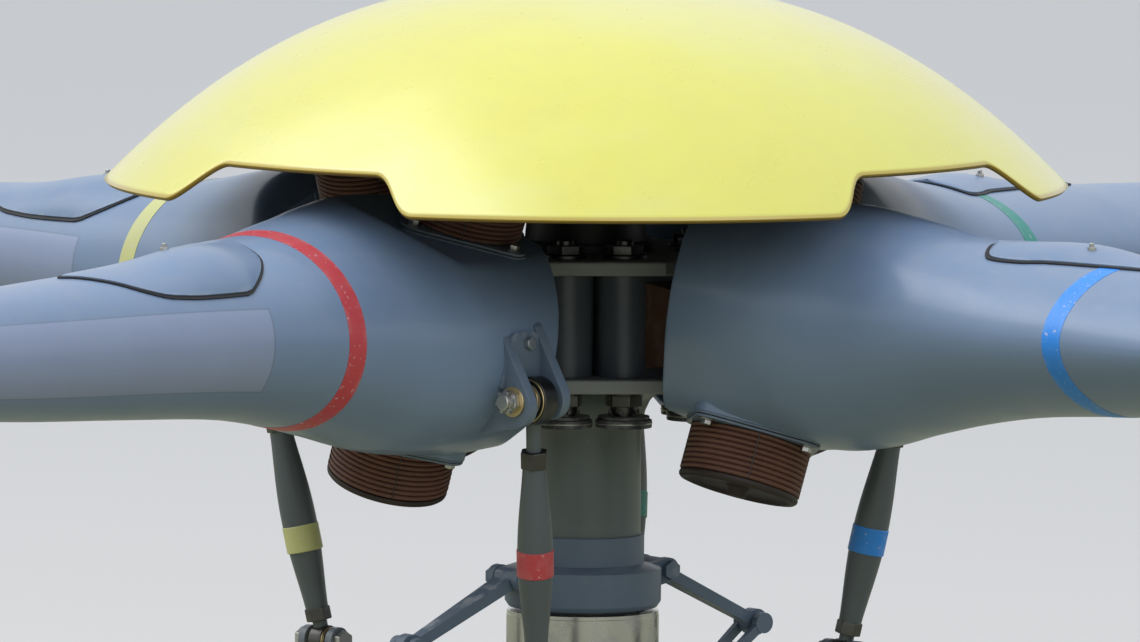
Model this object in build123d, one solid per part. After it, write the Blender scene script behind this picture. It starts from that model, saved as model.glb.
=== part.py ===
from build123d import *
import os
from math import atan2, copysign, cos, degrees, hypot, radians, sin, sqrt

# Four-blade bearingless main rotor of a light helicopter, with its mast, hub cap, swashplate and mast
# housing. Millimetres, +Z up. The origin is the centre of the housing's bolting face. Blade 1 points
# along +X, blades 2 to 4 follow counter-clockwise seen from above, which is the way the rotor turns,
# so each blade's leading side is its counter-clockwise side. Collective pitch is at its lowest stop.

os.makedirs("parts", exist_ok=True)

# Hub and blades.
HUB_Z = 780.0
BLADES = 4
CONE = 1.5
PARKED_PITCH = -19.0
ROTOR_RADIUS = 5100.0
BLADE_DROOP = 150.0
CUFF_START = 180.0
CUFF_END = 900.0
CUFF_WALL = 8.0

# Hub plates, blade lugs and their bolts, heights counted from the hub centre.
PLATE_THICK = 15.0
LOWER_PLATE_Z = -59.0
UPPER_PLATE_Z = 64.0
PLATE_END_X = 163.0
PLATE_END_HALF = 64.0
BOLT_RADIAL = 102.0
BOLT_SIDE = 58.0
BOLT_R = 11.0
BOLT_REACH = 30.0
WASHER_R = 23.0
WASHER_THICK = 4.0
HEAD_ACROSS = 34.0
HEAD_TALL = 14.0
NUT_TALL = 18.0
DISC_R = 30.0
DISC_THICK = 10.0
LUG_R = 29.0

# Mast and driver collar.
MAST_R = 60.0
MAST_BORE_R = 44.0
MAST_BOTTOM_Z = -70.0
RUNNING_GAP = 0.05
COLLAR_TOP_Z = 560.0
COLLAR_LOW_Z = 480.0

# Hub cap: a dome, flatter on top than a ball, with a notch over each blade.
CAP_RIM_R = 504.0
CAP_RIM_Z = 150.0
CAP_TOP_Z = 360.0
CAP_POWER = 2.5
CAP_RINGS = 6
CAP_SHELL = 5.0
NOTCH_RIM_HALF = 167.0
NOTCH_TOP_HALF = 100.0
NOTCH_TOP_Z = 188.0
NOTCH_CORNER_R = 22.0

# Lead-lag dampers, local to the cuff.
DAMPER_RADIAL = 252.0
DAMPER_R = 64.0
DAMPER_RIBS = 9
DAMPER_LENGTH = 46.0
MOUNT_THICK = 6.0
MOUNT_R = 90.0
MOUNT_HALF = 67.0
LOWER_SEAT_DEEP = 60.0
SEAT_Z = 118.0
SEAT_END = 322.0

# Pitch horn pivot, local to the cuff: radial, leading side, up.
HORN_PIVOT = (288.0, 183.0, 3.0)
HORN_LUG_OFFSET = 25.0
HORN_LUG_THICK = 12.0
HORN_LUG_R = 24.0
HORN_FLAT_Y = 154.0
HORN_ROOT_LOW = -46.0
HORN_ROOT_HIGH = 62.0
HORN_PIN_R = 8.0
HORN_BLOCK_HALF = 46.0
HORN_NUT = 24.0

# Pitch link: its lower pivot on the swashplate for blade 1.
LINK_FOOT = (239.0, 139.0, 440.0)
LINK_EYE_R = 25.0
LINK_EYE_WIDTH = 20.0
LINK_SHANK_R = 8.0
LINK_END_R = 12.0
LINK_TUBE_R = 18.5
LINK_LOCKNUT = 26.0
LINK_NUT = 24.0

# Distances down the pitch link from its upper pivot.
SHANK_FROM = 12.0
LOCKNUT_FROM = 53.0
TUBE_FROM = 72.0
TUBE_WIDEST = 190.0
TUBE_TO = 262.0
NUT_TO = 276.0

# Pitch link's lower pivot.
FOOT_PIN_R = 7.0
FOOT_EYE_BORE_R = 8.7
FOOT_EYE_R = 16.0
FOOT_EYE_WIDTH = 16.0
FOOT_LUG_X = 18.5
FOOT_LUG_HALF = 4.5
FOOT_NUT = 21.0

# Swashplate.
TUBE_R = 80.0
SLEEVE_R = 90.0
SLEEVE_LOW_Z = 316.0
SLEEVE_TOP_Z = 426.0
BALL_R = 106.0
BALL_HALF = 18.0
PLATE_Z = 398.0
FIXED_RING_R = 128.0
RING_BEARING_R = 134.0
TURNING_RING_R = 158.0
EAR_PIVOT = (190.0, 372.0)
EAR_PIN_R = 6.0

# Scissors: hinge on the collar, hinge on the turning ring and apex, as (radius, height).
SCISSOR_AZIMUTH = 77.1
SCISSOR_TOP = (94.0, 518.0)
SCISSOR_LOW = (170.0, 408.0)
SCISSOR_APEX = (226.57, 453.34)
SCISSOR_PIN_R = 6.0
SCISSOR_BORE_R = 7.0
SCISSOR_NUT = 18.0
SCISSOR_LUG_Y = 21.0
SCISSOR_LUG_HALF = 5.0

# Collective lever: pivot on the housing's bracket and trunnions on the sliding sleeve.
LEVER_PIVOT = (-190.0, 354.25)
TRUNNION_Z = 330.0
TRUNNION_R = 8.0
LEVER_TAIL = 110.0
LEVER_PIN_R = 8.0
LEVER_TAIL_PIN_R = 6.0
LEVER_FORK_Y = 108.0
LEVER_HUB_HALF = 12.0
LEVER_NUT = 24.0
CHEEK_Y = 22.0

# Mast housing.
FLANGE_R = 190.0
FLANGE_THICK = 16.0
FLANGE_PCD = 344.0
FLANGE_BOLTS = 12
FLANGE_HOLE_R = 5.5
HOUSING_TOP_Z = 250.0
TUBE_TOP_Z = 476.0

# Cuff sections: radial station, leading side, trailing side, half height, rise of the middle, twist, and
# how far the oval has turned into a drop with its thickest part forward.
CUFF_ROWS = (
    (180.0, 158.0, -158.0, 116.0, 16.0, 0.0, 0.0),
    (246.0, 165.0, -165.0, 122.0, 15.0, 0.0, 0.0),
    (300.0, 166.0, -166.0, 127.0, 14.0, 0.0, 0.0),
    (345.0, 163.0, -163.0, 128.0, 13.0, 0.0, 0.0),
    (385.0, 155.0, -155.0, 123.0, 12.0, 0.0, 0.0),
    (450.0, 137.0, -138.0, 108.7, 11.0, 4.0, 0.0),
    (520.0, 126.0, -131.0, 93.6, 9.0, 9.0, 0.10),
    (620.0, 112.0, -122.0, 80.5, 7.0, 14.0, 0.22),
    (760.0, 103.0, -118.0, 73.0, 4.0, 16.5, 0.35),
    (900.0, 97.0, -118.0, 66.0, 1.0, 18.0, 0.50),
)

# Edge of the cuff's open inner end seen from above, inside which it is cut away: radial, leading side.
MOUTH_PROFILE = (
    (150.0, -190.0), (150.0, 190.0), (262.0, 190.0), (246.0, 165.0), (180.0, 62.0),
    (180.0, -62.0), (246.0, -165.0), (262.0, -190.0),
)

# Blade sections: radial station, leading edge, trailing edge, thickness, edge half thickness, twist.
BLADE_ROWS = (
    (900.0, 97.0, -116.0, 132.0, 32.0, 18.0),
    (1060.0, 94.0, -128.0, 112.0, 20.0, 20.0),
    (1240.0, 86.0, -158.0, 76.0, 9.0, 22.0),
    (1450.0, 74.0, -208.0, 46.0, 3.0, 24.0),
    (1700.0, 72.0, -216.0, 36.0, 1.5, 25.0),
    (2700.0, 72.0, -216.0, 34.6, 1.5, 23.0),
    (4560.0, 72.0, -216.0, 34.6, 1.5, 19.3),
    (4820.0, 56.0, -206.0, 29.0, 1.5, 18.8),
    (5000.0, 14.0, -194.0, 20.0, 1.4, 18.4),
    (5100.0, -52.0, -184.0, 10.0, 1.2, 18.2),
)

# Flexbeam sections: radial station, half width, half thickness, height above the hub centre.
FLEXBEAM_ROWS = (
    (104.0, 60.0, 50.0, 10.0),
    (160.0, 57.0, 40.0, 10.0),
    (235.0, 50.0, 19.0, 11.0),
    (310.0, 47.0, 12.0, 12.0),
    (870.0, 42.0, 8.0, 22.8),
)


def save(name, *pieces):
    shapes = [shape for piece in pieces for shape in piece.solids()]
    part = shapes[0] if len(shapes) == 1 else Compound(children=shapes)
    part.label = name
    export_step(part, "parts/" + name + ".step")


def plane_at(x):
    return Plane(origin=(x, 0, 0), x_dir=(0, 1, 0), z_dir=(1, 0, 0))


def block(x0, x1, y0, y1, z0, z1):
    centre = Pos((x0 + x1) / 2, (y0 + y1) / 2, (z0 + z1) / 2)
    return centre * Box(x1 - x0, y1 - y0, z1 - z0)


def tube(outer, inner, z0, z1):
    disc = Circle(outer) - Circle(inner) if inner > 0 else Circle(outer)
    return Pos(0, 0, z0) * extrude(disc, z1 - z0)


def turned(points):
    profile = make_face(Plane.XZ * Polyline(*points, close=True))
    return revolve(profile, Axis.Z)


def rod(start, end, radius, end_radius=None):
    sx, sy, sz = start
    ex, ey, ez = end
    length = sqrt((ex - sx) ** 2 + (ey - sy) ** 2 + (ez - sz) ** 2)
    plane = Plane(origin=start, z_dir=(ex - sx, ey - sy, ez - sz))
    foot = plane * Circle(radius)
    if end_radius is None or end_radius == radius:
        return extrude(foot, length)
    head = plane.offset(length) * Circle(end_radius)
    return loft([foot, head], ruled=True)


def hexagon(start, end, across):
    sx, sy, sz = start
    ex, ey, ez = end
    length = sqrt((ex - sx) ** 2 + (ey - sy) ** 2 + (ez - sz) ** 2)
    plane = Plane(origin=start, z_dir=(ex - sx, ey - sy, ez - sz))
    return extrude(plane * RegularPolygon(across / 2, 6, major_radius=False), length)


def bar_profile(ax, ay, bx, by, ra, rb):
    return make_hull((Pos(ax, ay) * Circle(ra)).edges() + (Pos(bx, by) * Circle(rb)).edges())


def in_rotor(k, shape):
    return Rot(0, 0, 90.0 * k) * shape


def in_cuff(k, shape):
    return Rot(0, 0, 90.0 * k) * Pos(0, 0, HUB_Z) * Rot(0, -CONE, 0) * Rot(PARKED_PITCH, 0, 0) * shape


def cuff_point(point):
    x, y, z = point
    a = radians(PARKED_PITCH)
    ly = y * cos(a) - z * sin(a)
    lz = y * sin(a) + z * cos(a)
    c = radians(CONE)
    return (x * cos(c) - lz * sin(c), ly, HUB_Z + x * sin(c) + lz * cos(c))


def toward(start, end, distance):
    length = sqrt(sum((e - s) ** 2 for s, e in zip(start, end)))
    return tuple(s + (e - s) * distance / length for s, e in zip(start, end))


# Mast housing: bolted flange, cone with ribs and the tube the swashplate slides on.

housing = turned([
    (82, 0), (FLANGE_R, 0), (FLANGE_R, FLANGE_THICK), (138, FLANGE_THICK), (96, 232), (96, HOUSING_TOP_Z),
    (68, HOUSING_TOP_Z), (68, 228), (118, 44), (82, 40),
])
rib_face = make_face(Plane.XZ * Polyline((132, 15), (168, 15), (102, 205), (98, 205), close=True))
rib = extrude(rib_face, 5, both=True)
for k in range(FLANGE_BOLTS):
    housing += Rot(0, 0, 360 / FLANGE_BOLTS * (k + 0.5)) * rib
for k in range(FLANGE_BOLTS):
    angle = radians(360 / FLANGE_BOLTS * k)
    spot = Pos(FLANGE_PCD / 2 * cos(angle), FLANGE_PCD / 2 * sin(angle), FLANGE_THICK / 2)
    housing -= spot * Cylinder(FLANGE_HOLE_R, FLANGE_THICK + 2)
save("mast_housing", housing)

guide_tube = tube(TUBE_R, 66, HOUSING_TOP_Z, TUBE_TOP_Z) + tube(96, 66, HOUSING_TOP_Z, HOUSING_TOP_Z + 10)
guide_tube = guide_tube + tube(TUBE_R - 0.5, 66, TUBE_TOP_Z, TUBE_TOP_Z + 4)
save("guide_tube", guide_tube)

bearing_low = tube(82, MAST_R + RUNNING_GAP, 6, 38)
bearing_top = tube(66, MAST_R + RUNNING_GAP, 440, 474)
save("mast_bearings", bearing_low, bearing_top)

# Bracket that carries the collective lever's pivot, standing on the flange.

px, pz = LEVER_PIVOT
cheek = Polygon((-188, 16), (-142, 16), (-163, 300), (px + 20, pz), (px - 20, pz), (-206, 300), align=None)
cheek += Pos(px, pz) * Circle(20)
cheek -= Pos(px, pz) * Circle(LEVER_PIN_R)
cheek_solid = extrude(Plane.XZ * cheek, 5, both=True)
bracket = Pos(0, CHEEK_Y, 0) * cheek_solid + Pos(0, -CHEEK_Y, 0) * cheek_solid
bracket += block(-188, -142, -30, 30, FLANGE_THICK, FLANGE_THICK + 12)
bracket += block(-185, -150, -18, 18, 100, 112) + block(-190, -160, -18, 18, 240, 250)
bracket += rod((px, -34, pz), (px, 34, pz), LEVER_PIN_R)
bracket += hexagon((px, -40, pz), (px, -27, pz), LEVER_NUT) + hexagon((px, 27, pz), (px, 40, pz), LEVER_NUT)
save("lever_bracket", bracket)

# Sliding sleeve with its spherical seat and the trunnions the lever lifts it by.

sleeve_bore = TUBE_R + RUNNING_GAP
ball_low = PLATE_Z - BALL_HALF
ball_high = PLATE_Z + BALL_HALF
ball_edge = sqrt(BALL_R ** 2 - BALL_HALF ** 2)
sleeve_line = Polyline((ball_edge, ball_low), (SLEEVE_R, ball_low), (SLEEVE_R, SLEEVE_LOW_Z),
                       (sleeve_bore, SLEEVE_LOW_Z), (sleeve_bore, SLEEVE_TOP_Z), (SLEEVE_R, SLEEVE_TOP_Z),
                       (SLEEVE_R, ball_high), (ball_edge, ball_high))
sleeve_line += ThreePointArc((ball_edge, ball_low), (BALL_R, PLATE_Z), (ball_edge, ball_high))
sleeve = revolve(make_face(Plane.XZ * sleeve_line), Axis.Z)
for side in (1, -1):
    sleeve += rod((0, side * 86, TRUNNION_Z), (0, side * 98, TRUNNION_Z), 13)
    sleeve += rod((0, side * 95, TRUNNION_Z), (0, side * 118, TRUNNION_Z), TRUNNION_R)
save("sliding_sleeve", sleeve)

# Fixed swashplate ring with the ears the control rods bolt to.

fixed_ring = tube(FIXED_RING_R, 100, PLATE_Z - 26, PLATE_Z + 26)
fixed_ring -= Pos(0, 0, PLATE_Z) * Sphere(BALL_R + 0.2)
er, ez = EAR_PIVOT
ear_arm = block(116, 176, -17, 17, ez, ez + 14)
ear_face = Plane.XZ * (Pos(er, ez) * Circle(13) + Polygon((158, ez - 8), (158, ez + 13), (er, ez + 13),
                                                           (er, ez - 13), align=None))
ear_lug = extrude(ear_face, 4, both=True)
ear = ear_arm + Pos(0, 13, 0) * ear_lug + Pos(0, -13, 0) * ear_lug
ear -= rod((er, -20, ez), (er, 20, ez), EAR_PIN_R)
for k in range(3):
    fixed_ring += Rot(0, 0, 120 * k) * ear
save("fixed_ring", fixed_ring)
save("ring_bearing", tube(RING_BEARING_R, FIXED_RING_R, PLATE_Z - 3, PLATE_Z + 24))

# Collective lever: a fork round the sleeve, with slots on the trunnions and a tail for its rod.

lift = degrees(atan2(TRUNNION_Z - pz, -px))
reach = hypot(TRUNNION_Z - pz, px)
fork = Pos(reach, 0) * Circle(19) + Polygon((0, 17), (reach, 19), (reach, -19), (0, -17), align=None)
fork -= bar_profile(reach - 2.5, 0, reach + 2.5, 0, TRUNNION_R + 0.4, TRUNNION_R + 0.4)
fork_side = extrude(Plane.XZ * fork, 5, both=True)
fork_side -= block(-1, 76, -6, 6, -30, 30)
lever = Pos(0, LEVER_FORK_Y, 0) * fork_side + Pos(0, -LEVER_FORK_Y, 0) * fork_side
lever += block(52, 76, -113, 113, -15, 15) - block(64, 90, -103, 103, -20, 20)
hub_face = Plane.XZ * (bar_profile(0, 0, -LEVER_TAIL, 0, 19, 13) + Polygon((0, 17), (60, 15), (60, -15),
                                                                            (0, -17), align=None))
lever += extrude(hub_face, LEVER_HUB_HALF, both=True)
lever -= rod((0, -30, 0), (0, 30, 0), LEVER_PIN_R + RUNNING_GAP)
lever -= rod((-LEVER_TAIL, -30, 0), (-LEVER_TAIL, 30, 0), LEVER_TAIL_PIN_R)
lever -= block(-LEVER_TAIL - 20, -LEVER_TAIL + 24, -5, 5, -20, 20)
save("collective_lever", Pos(px, 0, pz) * Rot(0, -lift, 0) * lever)

# Mast with its spline, flared head and driver collar.

mast = turned([
    (MAST_BORE_R, MAST_BOTTOM_Z), (50, MAST_BOTTOM_Z), (54, MAST_BOTTOM_Z + 6), (54, -6), (MAST_R, 0),
    (MAST_R, 664), (62, 682), (67, 697), (76, 708), (88, 713), (88, HUB_Z + LOWER_PLATE_Z),
    (MAST_BORE_R, HUB_Z + LOWER_PLATE_Z),
])
save("mast", mast)

collar = turned([
    (MAST_R, COLLAR_LOW_Z + 4), (78, COLLAR_LOW_Z + 4), (82, COLLAR_LOW_Z + 10), (82, 524), (64, 530),
    (64, COLLAR_TOP_Z), (MAST_R, COLLAR_TOP_Z),
])
tr, tz = SCISSOR_TOP
collar_face = Plane.XZ * (Pos(tr, tz) * Circle(13) + Polygon((70, tz - 18), (70, tz + 8), (tr, tz + 13),
                                                              (tr, tz - 13), align=None))
collar_lug = extrude(collar_face, SCISSOR_LUG_HALF, both=True)
pair = Pos(0, SCISSOR_LUG_Y, 0) * collar_lug + Pos(0, -SCISSOR_LUG_Y, 0) * collar_lug
pair += rod((tr, -30, tz), (tr, 30, tz), SCISSOR_PIN_R)
pair += hexagon((tr, 26, tz), (tr, 33, tz), SCISSOR_NUT) + hexagon((tr, -33, tz), (tr, -26, tz), SCISSOR_NUT)
for azimuth in (SCISSOR_AZIMUTH, SCISSOR_AZIMUTH + 180):
    collar += Rot(0, 0, azimuth) * pair
collar -= tube(MAST_R, 0, COLLAR_LOW_Z, COLLAR_TOP_Z + 5)
save("driver_collar", collar)

# Hub: two plates, the core between them, blade lugs, bolts and balance discs.

octagon = []
for k in range(BLADES):
    a = radians(90 * k)
    for y in (-PLATE_END_HALF, PLATE_END_HALF):
        octagon.append((PLATE_END_X * cos(a) - y * sin(a), PLATE_END_X * sin(a) + y * cos(a)))


def hub_plate(bore):
    face = make_face(Polyline(*octagon, close=True)) - Circle(bore)
    plate = extrude(face, PLATE_THICK)
    outer = plate.edges().filter_by(GeomType.LINE).filter_by(lambda e: abs(e.tangent_at(0.5).Z) < 0.1)
    plate = chamfer(outer, 1.5)
    for k in range(BLADES):
        for y in (-BOLT_SIDE, BOLT_SIDE):
            plate -= Rot(0, 0, 90 * k) * Pos(BOLT_RADIAL, y, PLATE_THICK / 2) * Cylinder(BOLT_R, 40)
    return plate


lower_top = LOWER_PLATE_Z + PLATE_THICK
save("hub_plate_lower", Pos(0, 0, HUB_Z + LOWER_PLATE_Z) * hub_plate(MAST_BORE_R))
save("hub_plate_upper", Pos(0, 0, HUB_Z + UPPER_PLATE_Z) * hub_plate(MAST_BORE_R))
save("hub_core", tube(56, MAST_BORE_R, HUB_Z + lower_top, HUB_Z + UPPER_PLATE_Z))

lug_face = make_hull((Pos(BOLT_RADIAL, BOLT_SIDE) * Circle(LUG_R)).edges()
                     + (Pos(BOLT_RADIAL, -BOLT_SIDE) * Circle(LUG_R)).edges())
lug_block = Pos(0, 0, HUB_Z + lower_top) * extrude(lug_face, UPPER_PLATE_Z - lower_top)
lug = lug_block
for y in (-BOLT_SIDE, BOLT_SIDE):
    lug -= Pos(BOLT_RADIAL, y, HUB_Z) * Cylinder(BOLT_R, 200)
save("root_lugs", *[in_rotor(k, lug) for k in range(BLADES)])

beam_sections = [plane_at(x) * Pos(0, HUB_Z + z) * Rectangle(2 * half, 2 * thick)
                 for x, half, thick, z in FLEXBEAM_ROWS]
flexbeam = loft(beam_sections, ruled=True) - lug_block
save("flexbeams", *[in_rotor(k, flexbeam) for k in range(BLADES)])

bolt_top = HUB_Z + UPPER_PLATE_Z + PLATE_THICK
bolt_low = HUB_Z + LOWER_PLATE_Z
bolts = []
discs = []
for k in range(BLADES):
    for y in (-BOLT_SIDE, BOLT_SIDE):
        levels = (bolt_low - BOLT_REACH - DISC_THICK, bolt_low - BOLT_REACH,
                  bolt_low - WASHER_THICK - NUT_TALL, bolt_low - WASHER_THICK, bolt_low,
                  bolt_top, bolt_top + WASHER_THICK, bolt_top + WASHER_THICK + HEAD_TALL)
        disc_low, shank_low, nut_low, washer_low, plate_low, plate_top, washer_top, head_top = [
            (BOLT_RADIAL, y, level) for level in levels]
        bolt = rod(shank_low, head_top, BOLT_R)
        bolt += rod(plate_top, washer_top, WASHER_R) + hexagon(washer_top, head_top, HEAD_ACROSS)
        bolt += rod(washer_low, plate_low, WASHER_R) + hexagon(nut_low, washer_low, HEAD_ACROSS)
        bolts.append(in_rotor(k, bolt))
        discs.append(in_rotor(k, rod(disc_low, shank_low, DISC_R)))
save("blade_bolts", *bolts)
save("balance_discs", *discs)

# Hub cap and its support.


def cap_height(radius, shell=0.0):
    """Height over the hub of the cap's outside, or of a surface inside it."""
    rise = CAP_TOP_Z - CAP_RIM_Z
    return CAP_TOP_Z - shell - rise * (radius / CAP_RIM_R) ** CAP_POWER


def cap_line(shell):
    """The cap's profile as arcs, from the middle out to the rim."""
    reach = CAP_RIM_R - shell * 1.2
    radii = [reach * i / CAP_RINGS for i in range(CAP_RINGS + 1)]
    arcs = Curve()
    for start, end in zip(radii, radii[1:]):
        half = (start + end) / 2
        arcs += ThreePointArc((start, cap_height(start, shell)), (half, cap_height(half, shell)),
                              (end, cap_height(end, shell)))
    return arcs


support_r = 60.0
support_top = cap_height(support_r, CAP_SHELL)
support_low = UPPER_PLATE_Z + PLATE_THICK
support = turned([
    (30, support_low), (72, support_low), (72, support_low + 10), (64, support_low + 10),
    (42, support_top - 20), (42, support_top - 8),
    (support_r, support_top - 8), (support_r, support_top), (30, support_top),
])
save("cap_support", Pos(0, 0, HUB_Z) * support)

inner_reach = CAP_RIM_R - CAP_SHELL * 1.2
cap_outline = cap_line(0.0) + cap_line(CAP_SHELL)
cap_outline += Line((0, CAP_TOP_Z), (0, CAP_TOP_Z - CAP_SHELL))
cap_outline += Line((CAP_RIM_R, CAP_RIM_Z), (inner_reach, cap_height(inner_reach, CAP_SHELL)))
cap = revolve(make_face(Plane.XZ * cap_outline), Axis.Z)
notch = Polygon((-NOTCH_RIM_HALF - 6, CAP_RIM_Z - 6), (NOTCH_RIM_HALF + 6, CAP_RIM_Z - 6),
                (NOTCH_TOP_HALF, NOTCH_TOP_Z), (-NOTCH_TOP_HALF, NOTCH_TOP_Z), align=None)
notch = fillet(notch.vertices().sort_by(Axis.Y)[-2:], NOTCH_CORNER_R)
notch_cut = extrude(plane_at(400) * notch, 130)
for k in range(BLADES):
    cap -= in_rotor(k, notch_cut)
save("hub_cap", Pos(0, 0, HUB_Z) * cap)

# Cuff of one blade: a hollow shell that turns from an oval into a drop, with damper seats above and below.

SECTION_ARCS = 8


def drop(u):
    """Half thickness at part u of the width of a section with its thickest part forward, 1 at most."""
    return 10 * (0.2969 * sqrt(u) - 0.1260 * u - 0.3516 * u ** 2 + 0.2843 * u ** 3 - 0.1015 * u ** 4)


def section_point(row, angle, inset):
    """A point of a cuff section at an angle from its leading side, moved inward by an inset."""
    x, lead, trail, height, rise, twist, taper = row
    lead -= inset
    trail += inset
    u = max(0.0, (1 - cos(angle)) / 2)
    y = lead * (1 - u) + trail * u
    round_side = abs(sin(angle))
    z = copysign((height - inset) * ((1 - taper) * round_side + taper * drop(u)), sin(angle))
    if round_side < 1e-9:
        z = 0.0
    turn = radians(twist)
    return (y * cos(turn) - (z + rise) * sin(turn), y * sin(turn) + (z + rise) * cos(turn))


def cuff_section(row, inset=0.0, shift=0.0):
    arcs = Curve()
    step = radians(360 / SECTION_ARCS)
    for k in range(SECTION_ARCS):
        arcs += ThreePointArc(*[section_point(row, step * (k + part), inset) for part in (0, 0.5, 1)])
    return plane_at(row[0] + shift) * make_face(arcs)


outer_cuff = loft([cuff_section(row) for row in CUFF_ROWS], ruled=True)
inner_sections = [cuff_section(CUFF_ROWS[0], CUFF_WALL, -6.0)]
inner_sections += [cuff_section(row, CUFF_WALL) for row in CUFF_ROWS[1:-1]]
inner_sections += [cuff_section(CUFF_ROWS[-1], CUFF_WALL, -12.0)]
inner_cuff = loft(inner_sections, ruled=True)
inner_cuff -= block(150, SEAT_END + 12, -200, 200, SEAT_Z - 12, 200)
inner_cuff -= block(226, 356, HORN_FLAT_Y - 10, 200, HORN_ROOT_LOW - 16, HORN_ROOT_HIGH + 16)
mount_outline = Circle(MOUNT_R) & Pos(-1, 0) * Rectangle(2 * MOUNT_HALF, 200)
lower_seat = Pos(DAMPER_RADIAL, 0, -SEAT_Z) * extrude(mount_outline, LOWER_SEAT_DEEP)
horn_flat = block(234, 348, HORN_FLAT_Y, 200, HORN_ROOT_LOW - 10, HORN_ROOT_HIGH + 10)
cuff = outer_cuff + lower_seat - inner_cuff
cuff -= block(150, SEAT_END, -200, 200, SEAT_Z, 200)
cuff -= horn_flat
mouth = Polygon(*MOUTH_PROFILE, align=None)
cuff -= extrude(mouth, 250, both=True)

# Blade of one arm, from the cuff's end to the swept tip.


def blade_section(row):
    x, lead, trail, thick, edge, twist = row
    chord = lead - trail
    nose = lead - 0.12 * chord
    crown = lead - 0.40 * chord
    with BuildLine() as line:
        ThreePointArc((nose, 0.40 * thick), (lead, 0), (nose, -0.40 * thick))
        ThreePointArc((nose, -0.40 * thick), (crown, -0.5 * thick), (trail, -edge))
        Line((trail, -edge), (trail, edge))
        ThreePointArc((trail, edge), (crown, 0.5 * thick), (nose, 0.40 * thick))
    sag = BLADE_DROOP * ((x - CUFF_END) / (ROTOR_RADIUS - CUFF_END)) ** 2
    tilt = radians(PARKED_PITCH)
    face = make_face(line.line)
    return Pos(x, -sag * sin(tilt), -sag * cos(tilt)) * Rot(twist, 0, 0) * (plane_at(0) * face)


blade = loft([blade_section(row) for row in BLADE_ROWS], ruled=True)

# Dampers: a flange plate on each seat, a ribbed laminated cylinder and a dished end plate.

rubber_low = SEAT_Z + MOUNT_THICK
rubber_high = rubber_low + DAMPER_LENGTH
rib_step = DAMPER_LENGTH / DAMPER_RIBS
rubber_points = [(0, rubber_low)]
for k in range(DAMPER_RIBS):
    z = rubber_low + k * rib_step
    rubber_points += [(DAMPER_R - 4, z), (DAMPER_R, z + 0.3 * rib_step), (DAMPER_R, z + 0.7 * rib_step)]
rubber_points += [(DAMPER_R - 4, rubber_high), (0, rubber_high)]
rubber = Pos(DAMPER_RADIAL, 0, 0) * turned(rubber_points)
flange_plate = Pos(DAMPER_RADIAL, 0, SEAT_Z) * extrude(mount_outline, MOUNT_THICK)
end_plate = Pos(DAMPER_RADIAL, 0, 0) * turned([
    (0, rubber_high), (62, rubber_high), (62, rubber_high + 4), (50, rubber_high + 8), (24, rubber_high + 6),
    (10, rubber_high + 6), (10, rubber_high + 14), (0, rubber_high + 14),
])
flip = Rot(180, 0, 0)

# Pitch horn: two triangular lugs on the cuff's leading side with the link's upper bolt.

hx, hy, hz = HORN_PIVOT
horn_root = Polygon((HORN_FLAT_Y - 30, HORN_ROOT_LOW), (HORN_FLAT_Y, HORN_ROOT_LOW + 12),
                    (HORN_FLAT_Y - 8, HORN_ROOT_HIGH), (HORN_FLAT_Y - 34, HORN_ROOT_HIGH + 12), align=None)
horn_face = make_hull((Pos(hy, hz) * Circle(HORN_LUG_R)).edges() + horn_root.edges())
horn = Part()
for offset in (-HORN_LUG_OFFSET, HORN_LUG_OFFSET):
    plane = plane_at(hx + offset - HORN_LUG_THICK / 2)
    horn += extrude(plane * horn_face, HORN_LUG_THICK)
horn += block(hx - HORN_BLOCK_HALF, hx + HORN_BLOCK_HALF, HORN_FLAT_Y - 40, HORN_FLAT_Y + 4,
              HORN_ROOT_LOW, HORN_ROOT_HIGH + 4)
horn -= outer_cuff - horn_flat
horn += rod((hx - 42, hy, hz), (hx + 50, hy, hz), HORN_PIN_R)
horn += hexagon((hx - 41, hy, hz), (hx - 31, hy, hz), HORN_NUT)
horn += hexagon((hx + 34, hy, hz), (hx + 46, hy, hz), HORN_NUT)
horn += rod((hx + 31, hy, hz), (hx + 34, hy, hz), 15)

# Pitch link, from the horn's pivot down to the turning ring.

top = cuff_point(HORN_PIVOT)
foot = LINK_FOOT
stations = (SHANK_FROM, LOCKNUT_FROM, TUBE_FROM, TUBE_WIDEST, TUBE_TO, NUT_TO)
shank_from, locknut_from, tube_from, tube_widest, tube_to, nut_to = [toward(top, foot, d) for d in stations]
link = rod(shank_from, locknut_from, LINK_SHANK_R) + hexagon(locknut_from, tube_from, LINK_LOCKNUT)
link += rod(tube_from, tube_widest, LINK_END_R, LINK_TUBE_R)
link += rod(tube_widest, tube_to, LINK_TUBE_R, LINK_END_R)
link += hexagon(tube_to, nut_to, LINK_NUT) + rod(nut_to, toward(foot, top, FOOT_EYE_R / 2), LINK_SHANK_R)
upper_eye = Pos(*HORN_PIVOT) * Rot(0, 90, 0) * Cylinder(LINK_EYE_R, LINK_EYE_WIDTH)
link += in_cuff(0, upper_eye)
link += Pos(*foot) * Rot(0, 90, 0) * Cylinder(FOOT_EYE_R, FOOT_EYE_WIDTH)
link -= in_cuff(0, Pos(*HORN_PIVOT) * Rot(0, 90, 0) * Cylinder(HORN_PIN_R + RUNNING_GAP, 60))
link -= Pos(*foot) * Rot(0, 90, 0) * Cylinder(FOOT_EYE_BORE_R, 60)

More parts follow.
